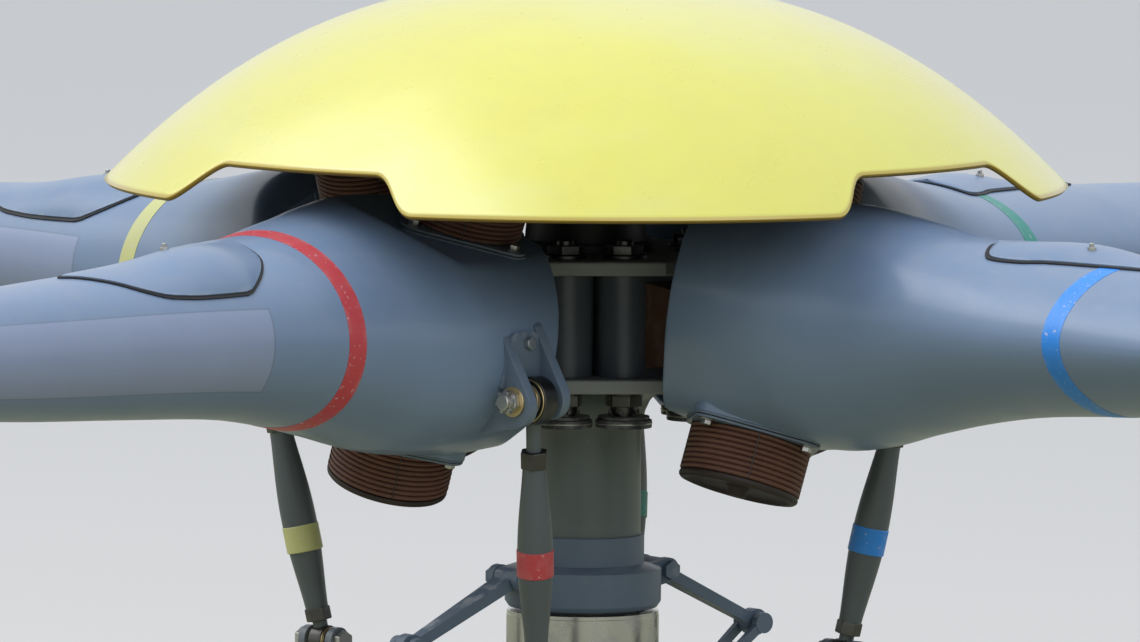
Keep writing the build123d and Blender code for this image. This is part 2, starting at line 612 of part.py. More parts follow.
for k in range(BLADES):
    n = str(k + 1)
    save("cuff_" + n, in_cuff(k, cuff))
    save("blade_" + n, in_cuff(k, blade))
    save("damper_rubber_" + n, in_cuff(k, rubber), in_cuff(k, flip * rubber))
    save("damper_plates_" + n, in_cuff(k, flange_plate), in_cuff(k, end_plate),
         in_cuff(k, flip * flange_plate), in_cuff(k, flip * end_plate))
    save("horn_" + n, in_cuff(k, horn))
    save("link_" + n, in_rotor(k, link))

# Turning swashplate ring: forks for the pitch links and lugs for the scissors.

turning = tube(TURNING_RING_R, RING_BEARING_R + RUNNING_GAP, PLATE_Z - 4, PLATE_Z + 28)
fx, fy, fz = LINK_FOOT
foot_angle = degrees(atan2(fy, fx))
foot_reach = hypot(fx, fy)
arm = Polygon((148, -36), (148, 36), (foot_reach - 14, 17), (foot_reach - 14, -17), align=None)
arm_solid = Rot(0, 0, foot_angle) * Pos(0, 0, PLATE_Z + 6) * extrude(arm, 16)
pad = block(fx - 27, fx + 27, fy - 17, fy + 17, PLATE_Z + 6, PLATE_Z + 22)
lug_outline = Plane.XZ * (Pos(0, fz) * Circle(15) + Polygon((-15, PLATE_Z + 21), (15, PLATE_Z + 21), (15, fz),
                                                            (-15, fz), align=None))
fork_lug = Rot(0, 0, 90) * extrude(lug_outline, FOOT_LUG_HALF, both=True)
foot_fork = arm_solid + pad
for x in (fx - FOOT_LUG_X, fx + FOOT_LUG_X):
    foot_fork += Pos(x, fy, 0) * fork_lug
lr, lz = SCISSOR_LOW
low_face = Plane.XZ * (Pos(lr, lz) * Circle(12) + Polygon((150, lz - 12), (150, lz + 12), (lr, lz + 12),
                                                           (lr, lz - 12), align=None))
low_lug = extrude(low_face, SCISSOR_LUG_HALF, both=True)
low_pair = Pos(0, SCISSOR_LUG_Y, 0) * low_lug + Pos(0, -SCISSOR_LUG_Y, 0) * low_lug
pins = []
for k in range(BLADES):
    turning += in_rotor(k, foot_fork)
for azimuth in (SCISSOR_AZIMUTH, SCISSOR_AZIMUTH + 180):
    turning += Rot(0, 0, azimuth) * low_pair
turning -= tube(RING_BEARING_R + RUNNING_GAP, 0, PLATE_Z - 30, PLATE_Z + 60)
for k in range(BLADES):
    bolt_hole = rod((fx - 30, fy, fz), (fx + 30, fy, fz), FOOT_PIN_R)
    turning -= in_rotor(k, bolt_hole)
    pin = rod((fx - 27, fy, fz), (fx + 27, fy, fz), FOOT_PIN_R)
    for x in (fx - 31, fx + 23):
        pin += hexagon((x, fy, fz), (x + 8, fy, fz), FOOT_NUT)
    pins.append(in_rotor(k, pin))
for azimuth in (SCISSOR_AZIMUTH, SCISSOR_AZIMUTH + 180):
    turning -= Rot(0, 0, azimuth) * rod((lr, -30, lz), (lr, 30, lz), SCISSOR_PIN_R)
    pin = rod((lr, -30, lz), (lr, 30, lz), SCISSOR_PIN_R)
    for y in (-33, 26):
        pin += hexagon((lr, y, lz), (lr, y + 7, lz), SCISSOR_NUT)
    pins.append(Rot(0, 0, azimuth) * pin)
save("turning_ring", turning)
save("ring_pins", *pins)

# Scissors: the collar's arm ends in one eye, the ring's arm in a fork that carries the apex pin.

ax, az = SCISSOR_APEX


def arm_between(p, q, half_p, half_q, thick):
    angle = degrees(atan2(q[1] - p[1], q[0] - p[0]))
    length = hypot(q[0] - p[0], q[1] - p[1])
    flat = Polygon((0, -half_p), (0, half_p), (length, half_q), (length, -half_q), align=None)
    arm = extrude(flat, thick / 2, both=True)
    return Pos(p[0], 0, p[1]) * Rot(0, -angle, 0) * arm


def eye(p, half, radius):
    return rod((p[0], -half, p[1]), (p[0], half, p[1]), radius)


upper_arm = arm_between(SCISSOR_TOP, SCISSOR_APEX, 15, 7, 12) + eye(SCISSOR_TOP, 15, 12)
upper_arm += eye(SCISSOR_APEX, 7, 14)
upper_arm -= eye(SCISSOR_TOP, 40, SCISSOR_PIN_R + RUNNING_GAP)
upper_arm -= eye(SCISSOR_APEX, 40, SCISSOR_BORE_R)
lower_arm = arm_between(SCISSOR_LOW, SCISSOR_APEX, 15, 20, 10) + eye(SCISSOR_LOW, 15, 11)
lower_arm += eye(SCISSOR_APEX, 20, 11)
slot = Pos(ax, 0, az) * Rot(0, 90, 0) * Box(64, 24, 64)
lower_arm -= slot
lower_arm -= eye(SCISSOR_LOW, 40, SCISSOR_PIN_R + RUNNING_GAP)
lower_arm += eye(SCISSOR_APEX, 20, SCISSOR_PIN_R)
for index, azimuth in enumerate((SCISSOR_AZIMUTH, SCISSOR_AZIMUTH + 180)):
    n = str(index + 1)
    save("scissor_upper_" + n, Rot(0, 0, azimuth) * upper_arm)
    save("scissor_lower_" + n, Rot(0, 0, azimuth) * lower_arm)
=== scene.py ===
"""Dresses the main rotor: finished skins, covers, dampers, links, hub, cap and mast, in metres."""
import math

import bmesh
import bpy
from bpy.props import FloatProperty, FloatVectorProperty, IntProperty, PointerProperty
from mathutils import Matrix, Vector


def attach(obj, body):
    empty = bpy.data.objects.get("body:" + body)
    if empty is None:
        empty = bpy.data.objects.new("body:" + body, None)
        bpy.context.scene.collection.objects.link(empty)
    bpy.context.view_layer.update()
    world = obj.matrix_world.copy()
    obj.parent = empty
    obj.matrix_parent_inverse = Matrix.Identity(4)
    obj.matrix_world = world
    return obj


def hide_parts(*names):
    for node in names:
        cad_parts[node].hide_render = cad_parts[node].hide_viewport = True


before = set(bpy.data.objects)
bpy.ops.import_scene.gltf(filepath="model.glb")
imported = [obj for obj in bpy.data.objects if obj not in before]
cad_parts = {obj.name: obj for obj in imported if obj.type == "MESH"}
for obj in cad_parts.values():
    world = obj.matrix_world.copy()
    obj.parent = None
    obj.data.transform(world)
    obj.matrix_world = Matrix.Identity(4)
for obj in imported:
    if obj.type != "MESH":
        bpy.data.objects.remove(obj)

bl_info = {
    "name": "Bearingless main rotor",
    "version": (1, 0, 0),
    "blender": (4, 5, 0),
    "location": "View3D > Sidebar > Rotor",
    "description": "Makes the finished pieces of a four-blade main rotor round its packed frame",
    "category": "Add Mesh",
}

# The rotor's main sizes, as the packed frame has them. A limb is a cuff with its blade, in a frame of its
# own: +X out along it, +Y towards its leading edge, +Z up.
BLADES = 4
HUB_Z = 0.780
CONE = math.radians(1.5)
PARKED_PITCH = math.radians(-19.0)
ROTOR_RADIUS = 5.100
BLADE_DROOP = 0.150
CUFF_START = 0.180
CUFF_END = 0.900

# The upper damper's flat seat ends at a station, past which the skin rises at a slope. One column of the
# skin follows each long edge of it, and its neighbours within a spread move with that one.
SEAT_Z = 0.118
SEAT_END = 0.345
SEAT_RUN_OUT = 0.35
SEAT_COLUMN = math.radians(56.25)
SEAT_SPREAD = math.radians(26.0)
SEAT_FREE = 0.43

# The cuff's underside is filled out to the lower seat, full out to these places and fading past them, with
# a boss under the mount where the skin falls away.
FILL_END = 0.42
FILL_SIDE = 0.045
FILL_SIDE_FADE = 0.085
FILL_STATION = 0.260
FILL_STATION_FADE = 0.080
BOSS_DEPTH = 0.020

# The mouth's edge stands at the cuff's start near its middle, and slants back towards its sides.
MOUTH_SECTION = 0.210
MOUTH_HALF = 0.062
MOUTH_REACH = 0.066
MOUTH_SPREAD = 0.103

# Hub: its two plates over its centre, the blade bolts with their washers, and the bore of the discs below.
PLATE_THICK = 0.015
LOWER_PLATE_Z = -0.059
UPPER_PLATE_Z = 0.064
BOLT_RADIAL = 0.102
BOLT_SIDE = 0.058
BOLT_R = 0.011
BOLT_ACROSS = 0.034
BOLT_WASHER_R = 0.023
BOLT_WASHER = 0.004
DISC_BORE_R = 0.006

# Hub cap: its rim and top over the hub's centre, the power that shapes its dome, and the notch over each
# blade, narrower at its top than at the rim.
CAP_RIM_R = 0.504
CAP_RIM_Z = 0.150
CAP_TOP_Z = 0.360
CAP_POWER = 2.5
CAP_ROWS = 34
NOTCH_RIM_HALF = 0.167
NOTCH_TOP_HALF = 0.100
NOTCH_TOP_Z = 0.188

# Dampers: the lower one sits a little nearer the limb's axis, is longer, and tilts about its own middle with
# the cuff's sloping underside.
DAMPER_RADIAL = 0.252
DAMPER_R = 0.064
LOWER_RISE = 0.012
LOWER_TILT = math.radians(4.5)
LOWER_MIDDLE = 0.145
LOWER_LONGER = 0.004

# A damper's mount is a square on its corners, one cut off: the centres and radius of its round corners, and
# its screws' distance from the damper's axis.
MOUNT_CORNERS = ((0.0700, 0), (0, 0.0700), (-0.0475, 0.0250), (-0.0475, -0.0250), (0, -0.0700))
MOUNT_CORNER_R = 0.0185
MOUNT_SCREW_RADIAL = 0.0757

# A pitch horn: its pin's place in the limb's frame, its two lugs as round corners (y, z, radius) beside the
# pin's own, their offset and half thickness, their lean, and the outline and screws of its pad.
HORN_PIVOT = Vector((0.288, 0.183, 0.003))
LUG_PIN_R = 0.024
LUG_FEET = ((0.126, -0.044, 0.003), (0.150, -0.040, 0.003), (0.149, 0.066, 0.003), (0.122, 0.076, 0.003))
LUG_OFFSET = 0.025
LUG_HALF = 0.006
LUG_LEAN = math.radians(8.0)
PAD_ROWS = ((0.258, -27.0, 24.0), (0.288, -27.0, 24.0), (0.318, -27.0, 24.0))
PAD_HEIGHT = 0.004
PAD_SCREWS = ((0.006, math.radians(19.0)), (-0.006, math.radians(-21.0)))

# A pitch link: its lower pin's place, its body's ends and radii, and its bands' and nuts' lengths.
LINK_FOOT = Vector((0.239, 0.139, 0.440))
LINK_START = 0.072
LINK_END = 0.262
LINK_NECK_R = 0.0078
LINK_END_R = 0.012
LINK_SWELL = 0.0065
LINK_BAND = 0.028
UPPER_NUT = 0.018
LOWER_NUT = 0.014

MAST_R = 0.060
MAST_BORE_R = 0.044
MAST_BOTTOM_Z = -0.070

FLOOR_HALF = 600.0
FLOOR_GAP = 0.002

# Limb sections: station, leading and trailing half width, half height, rise, twist in degrees, and how
# far the section has turned from an ellipse into a teardrop.
LIMB_ROWS = (
    (0.180, 0.158, -0.158, 0.116, 0.016, 0.0, 0.00),
    (0.246, 0.165, -0.165, 0.122, 0.015, 0.0, 0.00),
    (0.300, 0.166, -0.166, 0.127, 0.014, 0.0, 0.00),
    (0.345, 0.163, -0.163, 0.128, 0.013, 0.0, 0.00),
    (0.385, 0.155, -0.155, 0.123, 0.012, 0.0, 0.00),
    (0.450, 0.137, -0.138, 0.1107, 0.013, 4.0, 0.00),
    (0.520, 0.126, -0.131, 0.0976, 0.013, 9.0, 0.10),
    (0.620, 0.112, -0.122, 0.0845, 0.011, 14.0, 0.22),
    (0.760, 0.103, -0.118, 0.077, 0.008, 16.5, 0.35),
    (0.900, 0.097, -0.118, 0.070, 0.005, 18.0, 0.50),
    (1.060, 0.094, -0.130, 0.059, 0.003, 20.0, 0.75),
    (1.240, 0.086, -0.158, 0.040, 0.001, 22.0, 0.88),
    (1.450, 0.074, -0.208, 0.023, 0.000, 24.0, 0.95),
    (1.700, 0.072, -0.216, 0.018, 0.000, 25.0, 0.95),
    (2.700, 0.072, -0.216, 0.0173, 0.000, 23.0, 0.95),
    (4.560, 0.072, -0.216, 0.0173, 0.000, 19.3, 0.95),
    (4.820, 0.056, -0.206, 0.0145, 0.000, 18.8, 0.95),
    (5.000, 0.014, -0.194, 0.010, 0.000, 18.4, 0.95),
    (5.100, -0.052, -0.184, 0.005, 0.000, 18.2, 0.95),
)

# Cover outline on a cuff: station, section angle of its leading and of its trailing side, in degrees.
COVER_ROWS = (
    (0.562, 86.0, 112.0),
    (0.580, 68.0, 117.0),
    (0.616, 48.0, 112.0),
    (0.640, 40.0, 106.0),
    (0.700, 39.0, 98.0),
    (0.745, 41.0, 93.0),
    (0.775, 48.0, 89.0),
    (0.805, 62.0, 86.0),
    (0.832, 77.0, 84.0),
)

# Station of a cover's crown and how far it reaches, and the screw's station, section angle and height.
COVER_CROWN_STATION = 0.655
COVER_CROWN_LENGTH = 0.075
COVER_SCREW = (0.671, math.radians(88.0))
COVER_SCREW_LIFT = 0.008

# Station of each blade's coloured band, the name of its colour, and the band's distance down its link.
BANDS = ((0.712, "band_blue", 0.160), (0.610, "band_teal", 0.160), (0.536, "band_yellow", 0.173),
         (0.512, "band_red", 0.160))


def clamped(value, low=0.0, high=1.0):
    return min(max(value, low), high)


def smooth_step(t):
    """Goes from 0 to 1 as t does, level at both ends."""
    t = clamped(t)
    return t * t * (3 - 2 * t)


def eased(table, x):
    """The values of a table at station x, on a smooth line through its rows without overshoot."""
    last = len(table) - 1
    k = 0
    while k < last - 1 and x > table[k + 1][0]:
        k += 1
    a, b = table[k], table[k + 1]
    before, after = table[max(k - 1, 0)], table[min(k + 2, last)]
    width = b[0] - a[0]
    t = clamped((x - a[0]) / width)
    values = []
    for c in range(1, len(a)):
        step = (b[c] - a[c]) / width
        left = (a[c] - before[c]) / (a[0] - before[0]) if before is not a else step
        right = (after[c] - b[c]) / (after[0] - b[0]) if after is not b else step
        start = 2 * left * step / (left + step) if left * step > 0 else 0.0
        end = 2 * right * step / (right + step) if right * step > 0 else 0.0
        bend = t * (1 - t) * width * ((1 - t) * start - t * end)
        values.append(a[c] + smooth_step(t) * (b[c] - a[c]) + bend)
    return values


def foil(u):
    """Half thickness of a round-nosed section at part u of its chord, 1 at the thickest."""
    return 10 * (0.2969 * math.sqrt(u) - 0.1260 * u - 0.3516 * u ** 2 + 0.2843 * u ** 3 - 0.1015 * u ** 4)


def limb_row(x):
    """A limb's section values at station x, and last how far it droops there."""
    sag = BLADE_DROOP * max(0.0, (x - CUFF_END) / (ROTOR_RADIUS - CUFF_END)) ** 2
    return eased(LIMB_ROWS, x) + [sag]


def on_section(row, angle):
    """The point (y, z) of a section at an angle, which starts at its leading edge and goes over its top."""
    lead, trail, height, rise, twist, taper, _ = row
    u = clamped((1 - math.cos(angle)) / 2)
    y = lead * (1 - u) + trail * u
    side = math.sin(angle)
    z = height * ((1 - taper) * abs(side) + taper * foil(u)) * (1 if side >= 0 else -1) + rise
    turn = math.radians(twist)
    return Vector((y * math.cos(turn) - z * math.sin(turn), y * math.sin(turn) + z * math.cos(turn)))


def limb_point(x, angle, inset=0.0, row=None):
    """The point of a limb's skin at station x and section angle, in the limb's own frame."""
    row = row or limb_row(x)
    spot = on_section(row, angle)
    if inset:
        along_skin = (on_section(row, angle + 0.01) - on_section(row, angle - 0.01)).normalized()
        spot += inset * Vector((-along_skin.y, along_skin.x))
    sag = row[-1]
    return Vector((x, spot.x - sag * math.sin(PARKED_PITCH), spot.y - sag * math.cos(PARKED_PITCH)))


def quarter(k):
    """Turns a shape from blade 1 round to blade k + 1."""
    return Matrix.Rotation(math.radians(90.0 * k), 4, "Z")


def limb_frame(k):
    """Places a shape from a limb's own frame on blade k + 1 of the rotor."""
    cone = Matrix.Rotation(-CONE, 4, "Y")
    pitch = Matrix.Rotation(PARKED_PITCH, 4, "X")
    return quarter(k) @ Matrix.Translation((0, 0, HUB_Z)) @ cone @ pitch


def at(x=0.0, y=0.0, z=0.0):
    """Moves a shape."""
    return Matrix.Translation((x, y, z))


def damper_stand(k, lower):
    """Places a shape on the upper or lower damper's seat of blade k + 1."""
    if not lower:
        return limb_frame(k) @ at(DAMPER_RADIAL)
    tilt = Matrix.Rotation(LOWER_TILT, 4, "Y")
    return limb_frame(k) @ at(DAMPER_RADIAL, 0, LOWER_RISE - LOWER_MIDDLE) @ tilt @ at(z=LOWER_MIDDLE) @ FLIP


def along(start, end):
    """Places a shape that stands on the origin along +Z so that it runs from start towards end."""
    start, end = Vector(start), Vector(end)
    return Matrix.Translation(start) @ (end - start).to_track_quat("Z", "Y").to_matrix().to_4x4()


# Turns a shape upside down.
FLIP = Matrix.Rotation(math.pi, 4, "X")
# Stands a slab drawn in (y, z) up across the limb, its thickness along x.
ACROSS = Matrix(((0, 0, 1, 0), (1, 0, 0, 0), (0, 1, 0, 0), (0, 0, 0, 1)))


# Shapes.

def verts_of(made):
    """The vertices among what an operator made."""
    return [item for item in made if isinstance(item, bmesh.types.BMVert)]


def soften(shape, width, segments=2, angle=30.0):
    """Rounds the edges of a shape that are sharper than an angle."""
    sharp = [edge for edge in shape.edges
             if len(edge.link_faces) == 2 and edge.calc_face_angle(0) > math.radians(angle)]
    bmesh.ops.bevel(shape, geom=sharp, offset=width, offset_type="OFFSET", segments=segments, profile=0.5,
                    affect="EDGES", material=-1, clamp_overlap=True)
    return shape


def turned(rows, steps=64):
    """A shape turned about Z from a profile of (radius, height) rows, closed by itself or by the axis."""
    shape = bmesh.new()
    verts = [shape.verts.new((r, 0, z)) for r, z in rows]
    pairs = list(zip(verts, verts[1:]))
    if rows[0][0] > 0 or rows[-1][0] > 0:
        pairs.append((verts[-1], verts[0]))
    edges = [shape.edges.new(pair) for pair in pairs]
    bmesh.ops.spin(shape, geom=verts + edges, cent=(0, 0, 0), axis=(0, 0, 1), angle=2 * math.pi, steps=steps,
                   use_merge=True)
    bmesh.ops.remove_doubles(shape, verts=shape.verts, dist=1e-6)
    bmesh.ops.recalc_face_normals(shape, faces=shape.faces)
    return shape


def slab(points, low, high):
    """A flat plate with an outline of (x, y) points, from one height to another."""
    shape = bmesh.new()
    face = shape.faces.new([shape.verts.new((x, y, low)) for x, y in points])
    made = bmesh.ops.extrude_face_region(shape, geom=[face])["geom"]
    bmesh.ops.translate(shape, vec=(0, 0, high - low), verts=verts_of(made))
    bmesh.ops.recalc_face_normals(shape, faces=shape.faces)
    return shape


def rounded_slab(circles, low, high, steps=32):
    """A flat plate whose outline is stretched round circles of (x, y, radius)."""
    shape = bmesh.new()
    for x, y, radius in circles:
        for z in (low, high):
            bmesh.ops.create_circle(shape, segments=steps, radius=radius, matrix=at(x, y, z))
    made = bmesh.ops.convex_hull(shape, input=shape.verts, use_existing_faces=False)
    bmesh.ops.delete(shape, geom=verts_of(made["geom_interior"]), context="VERTS")
    bmesh.ops.dissolve_limit(shape, angle_limit=math.radians(1), verts=shape.verts, edges=shape.edges)
    bmesh.ops.recalc_face_normals(shape, faces=shape.faces)
    return shape


def prism(across, low, high, chamfer=0.0012):
    """A hexagon nut or bolt head with its corners and ends chamfered."""
    shape = bmesh.new()
    sides = 6
    radius = across / 2 / math.cos(math.pi / sides)
    bmesh.ops.create_cone(shape, segments=sides, radius1=radius, radius2=radius, depth=high - low,
                          cap_ends=True, matrix=at(z=(low + high) / 2))
    return soften(shape, chamfer)


def washer(outer, inner, low, high):
    """A flat ring with its outer edges chamfered."""
    edge = min(0.0006, (high - low) / 3)
    return turned([(inner, low), (outer - edge, low), (outer, low + edge), (outer, high - edge),
                   (outer - edge, high), (inner, high)], 48)


def shank(radius, low, high):
    """A round bar with chamfered ends."""
    edge = min(0.001, radius / 4)
    return turned([(0, low), (radius - edge, low), (radius, low + edge), (radius, high - edge),
                   (radius - edge, high), (0, high)], 32)


def castle_nut(across, low, high):
    """A nut with a ring of six teeth for a locking wire."""
    inner, top, outer = across * 0.27, across * 0.40, across * 0.42
    nut = prism(across, low, low + (high - low) * 0.62)
    merge(nut, turned([(inner, low), (outer, low), (outer, high - 0.001), (top, high), (inner, high)], 36))
    wide, deep, tall = 0.0024, 0.002, 0.004
    for k in range(6):
        tooth = slab([(-wide, -deep), (wide, -deep), (wide, deep), (-wide, deep)], high - tall, high)
        soften(tooth, 0.0005)
        merge(nut, tooth, Matrix.Rotation(math.radians(60 * k), 4, "Z") @ at(x=outer))
    return nut


def small_screw(across, flange, sunk=0.0):
    """A small hexagon head on its washer, which stands on the origin or goes down into what it holds."""
    return merge(washer(flange, 0.001, -sunk, 0.0012), prism(across, 0.0012, 0.0065, chamfer=0.0008))


def merge(shape, other, place=None):
    """Adds another shape to a shape."""
    if place is not None:
        bmesh.ops.transform(other, matrix=place, verts=other.verts)
    passing = bpy.data.meshes.new("passing")
    other.to_mesh(passing)
    other.free()
    shape.from_mesh(passing)
    bpy.data.meshes.remove(passing)
    return shape


class Piece:
    """Collects shapes into one object with one or more finishes."""

    def __init__(self, name, *finishes):
        self.name = name
        self.finishes = finishes
        self.shape = bmesh.new()

    def add(self, shape, place=None, finish=0):
        """Adds a shape at a place, in one of the piece's finishes."""
        for face in shape.faces:
            face.material_index = finish
        merge(self.shape, shape, place)
        return self

    def place(self, body, slot=None, replaces=(), smooth=35.0):
        """Makes the object, which rides on a body and may stand for packed pieces."""
        mesh = bpy.data.meshes.new(self.name)
        self.shape.to_mesh(mesh)
        self.shape.free()
        for finish in self.finishes:
            mesh.materials.append(finish)
        mesh.shade_smooth()
        mesh.set_sharp_from_angle(angle=math.radians(smooth))
        piece = bpy.data.objects.new(self.name, mesh)
        bpy.context.scene.collection.objects.link(piece)
        even = piece.modifiers.new("Even shading", "WEIGHTED_NORMAL")
        even.keep_sharp = True
        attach(piece, body)
        if replaces:
            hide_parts(*replaces)
        return piece


def dressed(node, name, finish, body, slot, width=0.0010):
    """A copy of a packed piece with its triangles merged and its edges rounded."""
    shape = bmesh.new()
    shape.from_mesh(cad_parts[node].data)
    bmesh.ops.remove_doubles(shape, verts=shape.verts, dist=1e-5)
    bmesh.ops.dissolve_limit(shape, angle_limit=math.radians(0.5), verts=shape.verts, edges=shape.edges)
    piece = Piece(name, finish).add(shape).place(body, slot, [node])
    rounding = piece.modifiers.new("Rounded edges", "BEVEL")
    rounding.limit_method = "ANGLE"
    rounding.angle_limit = math.radians(40)
    rounding.width = width
    rounding.segments = 2
    rounding.profile = 0.5
    piece.modifiers.move(1, 0)
    return piece


# Materials.

def add(tree, kind, inputs=None, **settings):
    """Adds a node, with its settings and with values or links on its inputs."""
    made = tree.nodes.new(kind)
    for name, value in settings.items():
        setattr(made, name, value)
    for key, value in (inputs or {}).items():
        if isinstance(value, bpy.types.NodeSocket):
            tree.links.new(value, made.inputs[key])
        else:
            made.inputs[key].default_value = value
    return made


def arithmetic(tree, operation, first, second):
    """A Math node's result."""
    return add(tree, "ShaderNodeMath", {0: first, 1: second}, operation=operation).outputs[0]


def plus(tree, first, second):
    return arithmetic(tree, "ADD", first, second)


def minus(tree, first, second):
    return arithmetic(tree, "SUBTRACT", first, second)


def times(tree, first, second):
    return arithmetic(tree, "MULTIPLY", first, second)


def larger(tree, first, second):
    return arithmetic(tree, "MAXIMUM", first, second)


def ramp(tree, value, low, high, start=0.0, end=1.0):
    """A value mapped from low..high to start..end, and held there outside."""
    inputs = {"Value": value, "From Min": low, "From Max": high, "To Min": start, "To Max": end}
    return add(tree, "ShaderNodeMapRange", inputs, interpolation_type="SMOOTHSTEP").outputs["Result"]


def mix(tree, mask, first, second):
    """One colour laid over another by a mask."""
    return add(tree, "ShaderNodeMix", {0: mask, 6: first, 7: second}, data_type="RGBA").outputs[2]


def noise(tree, place, scale, detail=4.0, stretch=None, rough=0.55):
    """A Noise Texture's value, stretched along an axis if a stretch is given."""
    if stretch:
        place = add(tree, "ShaderNodeMapping", {"Vector": place, "Scale": stretch}).outputs[0]
    inputs = {"Vector": place, "Scale": scale, "Detail": detail, "Roughness": rough}
    return add(tree, "ShaderNodeTexNoise", inputs).outputs["Fac"]


def effect(name, inputs, outputs):
    """A new node group with named sockets, as (group, its inputs, its output node)."""
    group = bpy.data.node_groups.new(name, "ShaderNodeTree")
    kinds = {"Colour": "NodeSocketColor", "Value": "NodeSocketFloat", "Vector": "NodeSocketVector"}
    for label, kind, default in inputs:
        socket = group.interface.new_socket(label, in_out="INPUT", socket_type=kinds[kind])
        if default is not None:
            socket.default_value = default
    for label, kind in outputs:
        group.interface.new_socket(label, in_out="OUTPUT", socket_type=kinds[kind])
    return group, group.nodes.new("NodeGroupInput").outputs, group.nodes.new("NodeGroupOutput")


def wear_group():
    """Paint's slow change of tone, fine scratches and bare edges."""
    name = "Paint wear"
    if name in bpy.data.node_groups:
        return bpy.data.node_groups[name]
    group, given, out = effect(name, (
        ("Place", "Vector", None), ("Paint", "Colour", (0.5, 0.5, 0.5, 1)),
        ("Under", "Colour", (0.6, 0.6, 0.6, 1)), ("Tone", "Value", 0.08), ("Scratches", "Value", 0.3),
        ("Edges", "Value", 0.3), ("Gloss", "Value", 0.35)),
        (("Colour", "Colour"), ("Roughness", "Value"), ("Height", "Value")))
    place = given["Place"]
    broad = noise(group, place, 3.5, 3.0)
    cloudy = noise(group, place, 19.0, 5.0)
    tone = plus(group, times(group, broad, 0.6), times(group, cloudy, 0.4))
    shift = times(group, minus(group, tone, 0.5), times(group, given["Tone"], 4.0))
    shifted = {"Color": given["Paint"], "Value": plus(group, 1.0, shift)}
    toned = add(group, "ShaderNodeHueSaturation", shifted).outputs[0]
    lines = noise(group, place, 26.0, 6.0, (1.0, 9.0, 6.0), 0.7)
    patches = ramp(group, noise(group, place, 7.0, 2.0), 0.48, 0.66)
    scratch = times(group, ramp(group, lines, 0.655, 0.70), patches)
    scratch = times(group, scratch, given["Scratches"])
    edge = ramp(group, add(group, "ShaderNodeNewGeometry").outputs["Pointiness"], 0.53, 0.60)
    chips = ramp(group, noise(group, place, 60.0, 5.0), 0.45, 0.62)
    worn = larger(group, scratch, times(group, times(group, edge, chips), given["Edges"]))
    group.links.new(mix(group, worn, toned, given["Under"]), out.inputs["Colour"])
    gloss = plus(group, given["Gloss"], times(group, minus(group, cloudy, 0.5), 0.25))
    group.links.new(plus(group, gloss, times(group, worn, 0.2)), out.inputs["Roughness"])
    skin = times(group, noise(group, place, 420.0, 2.0), 0.3)
    group.links.new(minus(group, skin, times(group, worn, 0.5)), out.inputs["Height"])
    return group


def dust_group():
    """Dust that lies on what faces up, and grime in patches."""
    name = "Dust"
    if name in bpy.data.node_groups:
        return bpy.data.node_groups[name]
    group, given, out = effect(name, (
        ("Place", "Vector", None), ("Under", "Colour", (0.5, 0.5, 0.5, 1)),
        ("Dust", "Colour", (0.45, 0.42, 0.36, 1)), ("Amount", "Value", 0.2), ("Grime", "Value", 0.15)),
        (("Colour", "Colour"), ("Mask", "Value")))
    normal = add(group, "ShaderNodeNewGeometry").outputs["Normal"]
    up = add(group, "ShaderNodeSeparateXYZ", {0: normal}).outputs["Z"]
    speckle = noise(group, given["Place"], 34.0, 6.0)
    patch = noise(group, given["Place"], 4.0, 3.0)
    lying = times(group, ramp(group, up, 0.1, 0.95), ramp(group, speckle, 0.35, 0.75))
    lying = times(group, lying, given["Amount"])
    smear = times(group, ramp(group, patch, 0.45, 0.75), given["Grime"])
    dirty = mix(group, smear, given["Under"], (0.06, 0.055, 0.045, 1))
    group.links.new(mix(group, lying, dirty, given["Dust"]), out.inputs["Colour"])
    group.links.new(lying, out.inputs["Mask"])
    return group


def blank(name):
    """A new material, as (material, its node tree, its shader, Object coordinates)."""
    material = bpy.data.materials.new(name)
    material.use_nodes = True
    tree = material.node_tree
    tree.nodes.clear()
    shader = add(tree, "ShaderNodeBsdfPrincipled")
    tree.links.new(shader.outputs[0], add(tree, "ShaderNodeOutputMaterial").inputs[0])
    return material, tree, shader, add(tree, "ShaderNodeTexCoord").outputs["Object"]


def drop(tree, shader, height, depth):
    """Gives a shader fine relief."""
    bump = add(tree, "ShaderNodeBump", {"Height": height, "Strength": 0.5, "Distance": depth})
    tree.links.new(bump.outputs[0], shader.inputs["Normal"])


def painted(name, colour, roughness=0.38, tone=0.07, scratches=0.3, edges=0.3, under=(0.52, 0.53, 0.52, 1),
            dust=0.18, grime=0.1, coat=0.0, relief=0.00012, finish=None):
    """A painted surface, with wear and dust. A finish function may lay more colours over the paint."""
    name = "finish_" + name
    if name in bpy.data.materials:
        return bpy.data.materials[name]
    material, tree, shader, place = blank(name)
    paint = finish(tree, place, colour) if finish else tuple(colour)
    wear = {"Place": place, "Paint": paint, "Under": under, "Tone": tone, "Scratches": scratches,
            "Edges": edges, "Gloss": roughness}
    worn = add(tree, "ShaderNodeGroup", wear, node_tree=wear_group()).outputs
    dirt = {"Place": place, "Under": worn["Colour"], "Amount": dust, "Grime": grime}
    dusty = add(tree, "ShaderNodeGroup", dirt, node_tree=dust_group()).outputs
    tree.links.new(dusty["Colour"], shader.inputs["Base Color"])
    rough = plus(tree, worn["Roughness"], times(tree, dusty["Mask"], 0.4))
    tree.links.new(rough, shader.inputs["Roughness"])
    shader.inputs["Coat Weight"].default_value = coat
    shader.inputs["Coat Roughness"].default_value = 0.08
    drop(tree, shader, worn["Height"], relief)
    return material


